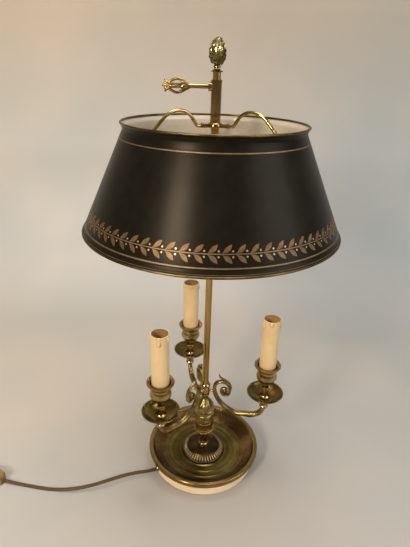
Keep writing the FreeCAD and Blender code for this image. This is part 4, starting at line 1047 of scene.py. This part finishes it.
def dripShape(off, below, fall, width, proud):
    # how far a drip stands out at a place on the sleeve, and the groove beside it
    s = sleeveLook
    across = abs(off) * s["radius"] / (width / 2)
    sunk = (below - fall + width * 0.5) / (width * 0.75)
    bulb = max(0, 1 - sunk ** 2)
    trail = s["trail"] * min(1, below / s["trailFrom"]) if below < fall - width * 0.3 else 0
    narrow = 1 if bulb > s["faint"] else s["trailWidth"]
    swell = proud * max(sqrt(bulb), trail) * sqrt(max(0, 1 - (across / narrow) ** 2))
    reach = hypot(across, max(0, sunk))
    beside = 1 < reach < 1.5 and below > 1
    return swell, sin(pi * (reach - 1) / 0.5) * s["groove"] if beside else 0


def makeSleeves():
    s = sleeveLook
    outer = [(s["radius"], s["bottom"]), (s["radius"], s["top"] - s["plain"])]
    outer += [(s["radius"], s["top"] - s["waxed"] + s["rowStep"] * i) for i in range(s["rows"])]
    outer += [(s["radius"] - s["rimStep"], s["top"])]
    outline = outer + [(s["radius"] - s["wall"], s["top"]), (s["radius"] - s["wall"], s["bottom"])]
    for number, azimuth in armAzimuths.items():
        at = polar(armReach, azimuth, 0)

        def wax(angle, index):
            if index >= len(outer) - 1 or index < 2:
                return 0
            swell = groove = 0
            for turn, *drip in s["drips"][number]:
                off = (angle - radians(turn) + pi) % (2 * pi) - pi
                out, beside = dripShape(off, s["top"] - outline[index][1], *drip)
                swell, groove = max(swell, out), max(groove, beside)
            return swell if swell > s["faint"] else -groove

        def inside(polygon):
            out = (polygon.center / mm - at) * Vector((1, 1, 0))
            return polygon.normal.dot(out) < -1 and polygon.center.z / mm < s["top"]

        mesh = turnedMesh(outline, s["segments"], 50, wax, (at.x, at.y))
        piece("candleSleeve_%d" % number, mesh, "base", "sleeve_card", [sleeveCream, sleeveInside],
            "candle_sleeve_%d" % number)
        secondFinish(mesh, inside)


makeCups()
makeSleeves()
print("pans, cups and sleeves made")

# finial, the carrier's hub screws, and key
finialLook = {"neck": [(2.55, 620.5), (7.4, 620.5), (7.6, 621.2), (6.4, 622), (4.6, 623.2), (3.6, 624.8),
    (3.9, 625.8), (4.8, 626.4), (4.7, 627.2), (3.7, 627.9), (4, 628.6), (5.4, 629.4)],
    "bore": (2.55, 630.6), "radius": 9, "halfHeight": 16.2, "middle": 642.8, "taper": -0.2,
    "rows": 20, "riseFrom": -0.86, "scales": 72, "scaleShare": 0.97,
    "scalePoints": [(-0.5, -1.9, -2.6), (-0.5, 1.9, -2.6), (0.9, 0, -2.2), (0.5, -1.5, 0.6),
        (0.5, 1.5, 0.6), (1.7, 0, 0.8), (0.9, 0, 2.9), (-0.8, 0, 1)],
    "scaleFaces": [(0, 2, 3), (2, 5, 3), (2, 1, 4), (2, 4, 5), (3, 5, 6), (5, 4, 6), (0, 3, 7),
        (3, 6, 7), (6, 4, 7), (4, 1, 7), (0, 7, 1), (0, 1, 2)]}


def makeFinial():
    f = finialLook
    outline = list(f["neck"])
    for i in range(1, f["rows"]):
        rise = f["riseFrom"] + (1 - f["riseFrom"]) * i / f["rows"]
        r = f["radius"] * sqrt(max(0, 1 - rise ** 2)) * (1 + f["taper"] * rise)
        outline.append((r, f["middle"] + f["halfHeight"] * rise))
    outline += [(0, f["middle"] + f["halfHeight"] - 0.2), (0, f["bore"][1]), f["bore"]]
    core = turnedMesh(outline, 64, 50)
    scale = meshFrom(f["scalePoints"], f["scaleFaces"], 30)
    scales = grow(eggScales, scale, greenBrass, Count=f["scales"], Radius=f["radius"] * mm,
        HalfHeight=f["halfHeight"] * mm * f["scaleShare"], Middle=f["middle"] * mm, Taper=f["taper"])
    piece("pineFinial", joinMeshes(core, scales), "column", "aged_brass", [greenBrass], "finial")


screwLook = {"head": [(0, 0), (1.9, 0), (1.9, 0.5), (1.2, 1), (0, 1.15)], "slot": (1.6, 0.2, 0.9, 1.25),
    "at": (18.5, 561.2), "first": 90}


def makeHubScrews():
    x, y, low, high = screwLook["slot"]
    corners = [(side * x, end * y, z) for z in (low, high)
        for side, end in ((-1, -1), (1, -1), (1, 1), (-1, 1))]
    slotBar = meshFrom(corners, [(3, 2, 1, 0), (4, 5, 6, 7), (0, 1, 5, 4), (1, 2, 6, 5), (2, 3, 7, 6),
                                 (3, 0, 4, 7)], 30)
    unit = joinMeshes(turnedMesh(screwLook["head"], 24), slotBar)
    mesh = ringMesh(unit, polishedBrass, 3, *screwLook["at"], screwLook["first"])
    piece("hubScrews", mesh, "carrier", "aged_brass", [])


# distances out along the key from where it starts, and from the flare's and the basket's end
keyLook = {"z": 604, "near": -32.4, "flare": 8.5, "basket": 18, "bar": 1.65}


def makeKey():
    k = keyLook
    flareEnd, basketEnd = k["flare"], k["flare"] + k["basket"]
    parts = []

    def at(along, height, out=0):
        return Vector((k["near"] - along, out, k["z"] + height))

    def bar(points, sizes, sides=12, steps=5, flat=None):
        line = [at(*p) for p in points]
        parts.append(barMesh(smoothLine(line, steps) if steps else line, sizes, sides, flat))

    def ball(radius, place, stretch, detail=2):
        parts.append(ballMesh(radius, at(*place), stretch, detail))

    bar([(-1, 0), (2.5, 0), (5, 0), (7, 0), (9, 0), (11, 0)], [2.7, 3, 3.9, 4.9, 5.6, 4.6], 20, 0,
        lambda t: 1 - 0.4 * t)
    for side in (1, -1):
        bar([(1, side * 2), (5, side * 3.8), (flareEnd, side * 5.6), (flareEnd + 4, side * 7.4),
             (flareEnd + 8.5, side * 7.8), (flareEnd + 13, side * 6.2), (basketEnd + 0.8, side * 2.8)],
            [k["bar"], k["bar"]], 10)
        for face in (1, -1):
            bar([(2, side, face * 1.8), (5, side * 2.4, face * 2.6), (9, side * 4.4, face * 2.6),
                 (13, side * 5.6, face * 1.4)], [1.2, 0.6], 8, 4)
        bar([(basketEnd - 1, side * 2), (basketEnd + 2, side * 4.2), (basketEnd + 4.2, side * 6.4)],
            [2.3, 1.1], 10, 4)
        ball(1.5, (basketEnd + 4, side * 6.2), (1, 0.8, 1))
        ball(2.4, (basketEnd + 3, side * 2.6), (1.3, 0.6, 1))
    spine = [(flareEnd - 1, 0), (flareEnd + 4, 0), (flareEnd + 9, 0), (flareEnd + 14, 0),
        (basketEnd + 1, 0)]
    bar(spine, [1.9 + 1.4 * sin(pi * i / 16) for i in range(17)], 12, 4, lambda t: 0.75)
    for along in (2.5, 5.5, 8.5, 11.5, 14.5):
        for side in (1, -1):
            for face in (1, -1):
                ball(1.2, (flareEnd + along, side * 2, face * 1.5), (1.4, 1, 1))
    ball(3.6, (basketEnd + 0.4, 0), (0.8, 0.6, 1), 3)
    bar([(basketEnd + 1, 0), (basketEnd + 4, 0), (basketEnd + 7.4, 0)], [2.6, 1.2], 12, 3)
    ball(1.7, (basketEnd + 6.8, 0), (1, 0.8, 1))
    piece("openKeyHead", joinMeshes(*parts), "key", "aged_brass", [chasedBrass], "key_head")


makeFinial()
makeHubScrews()
makeKey()
print("finial, hub screws and key made")
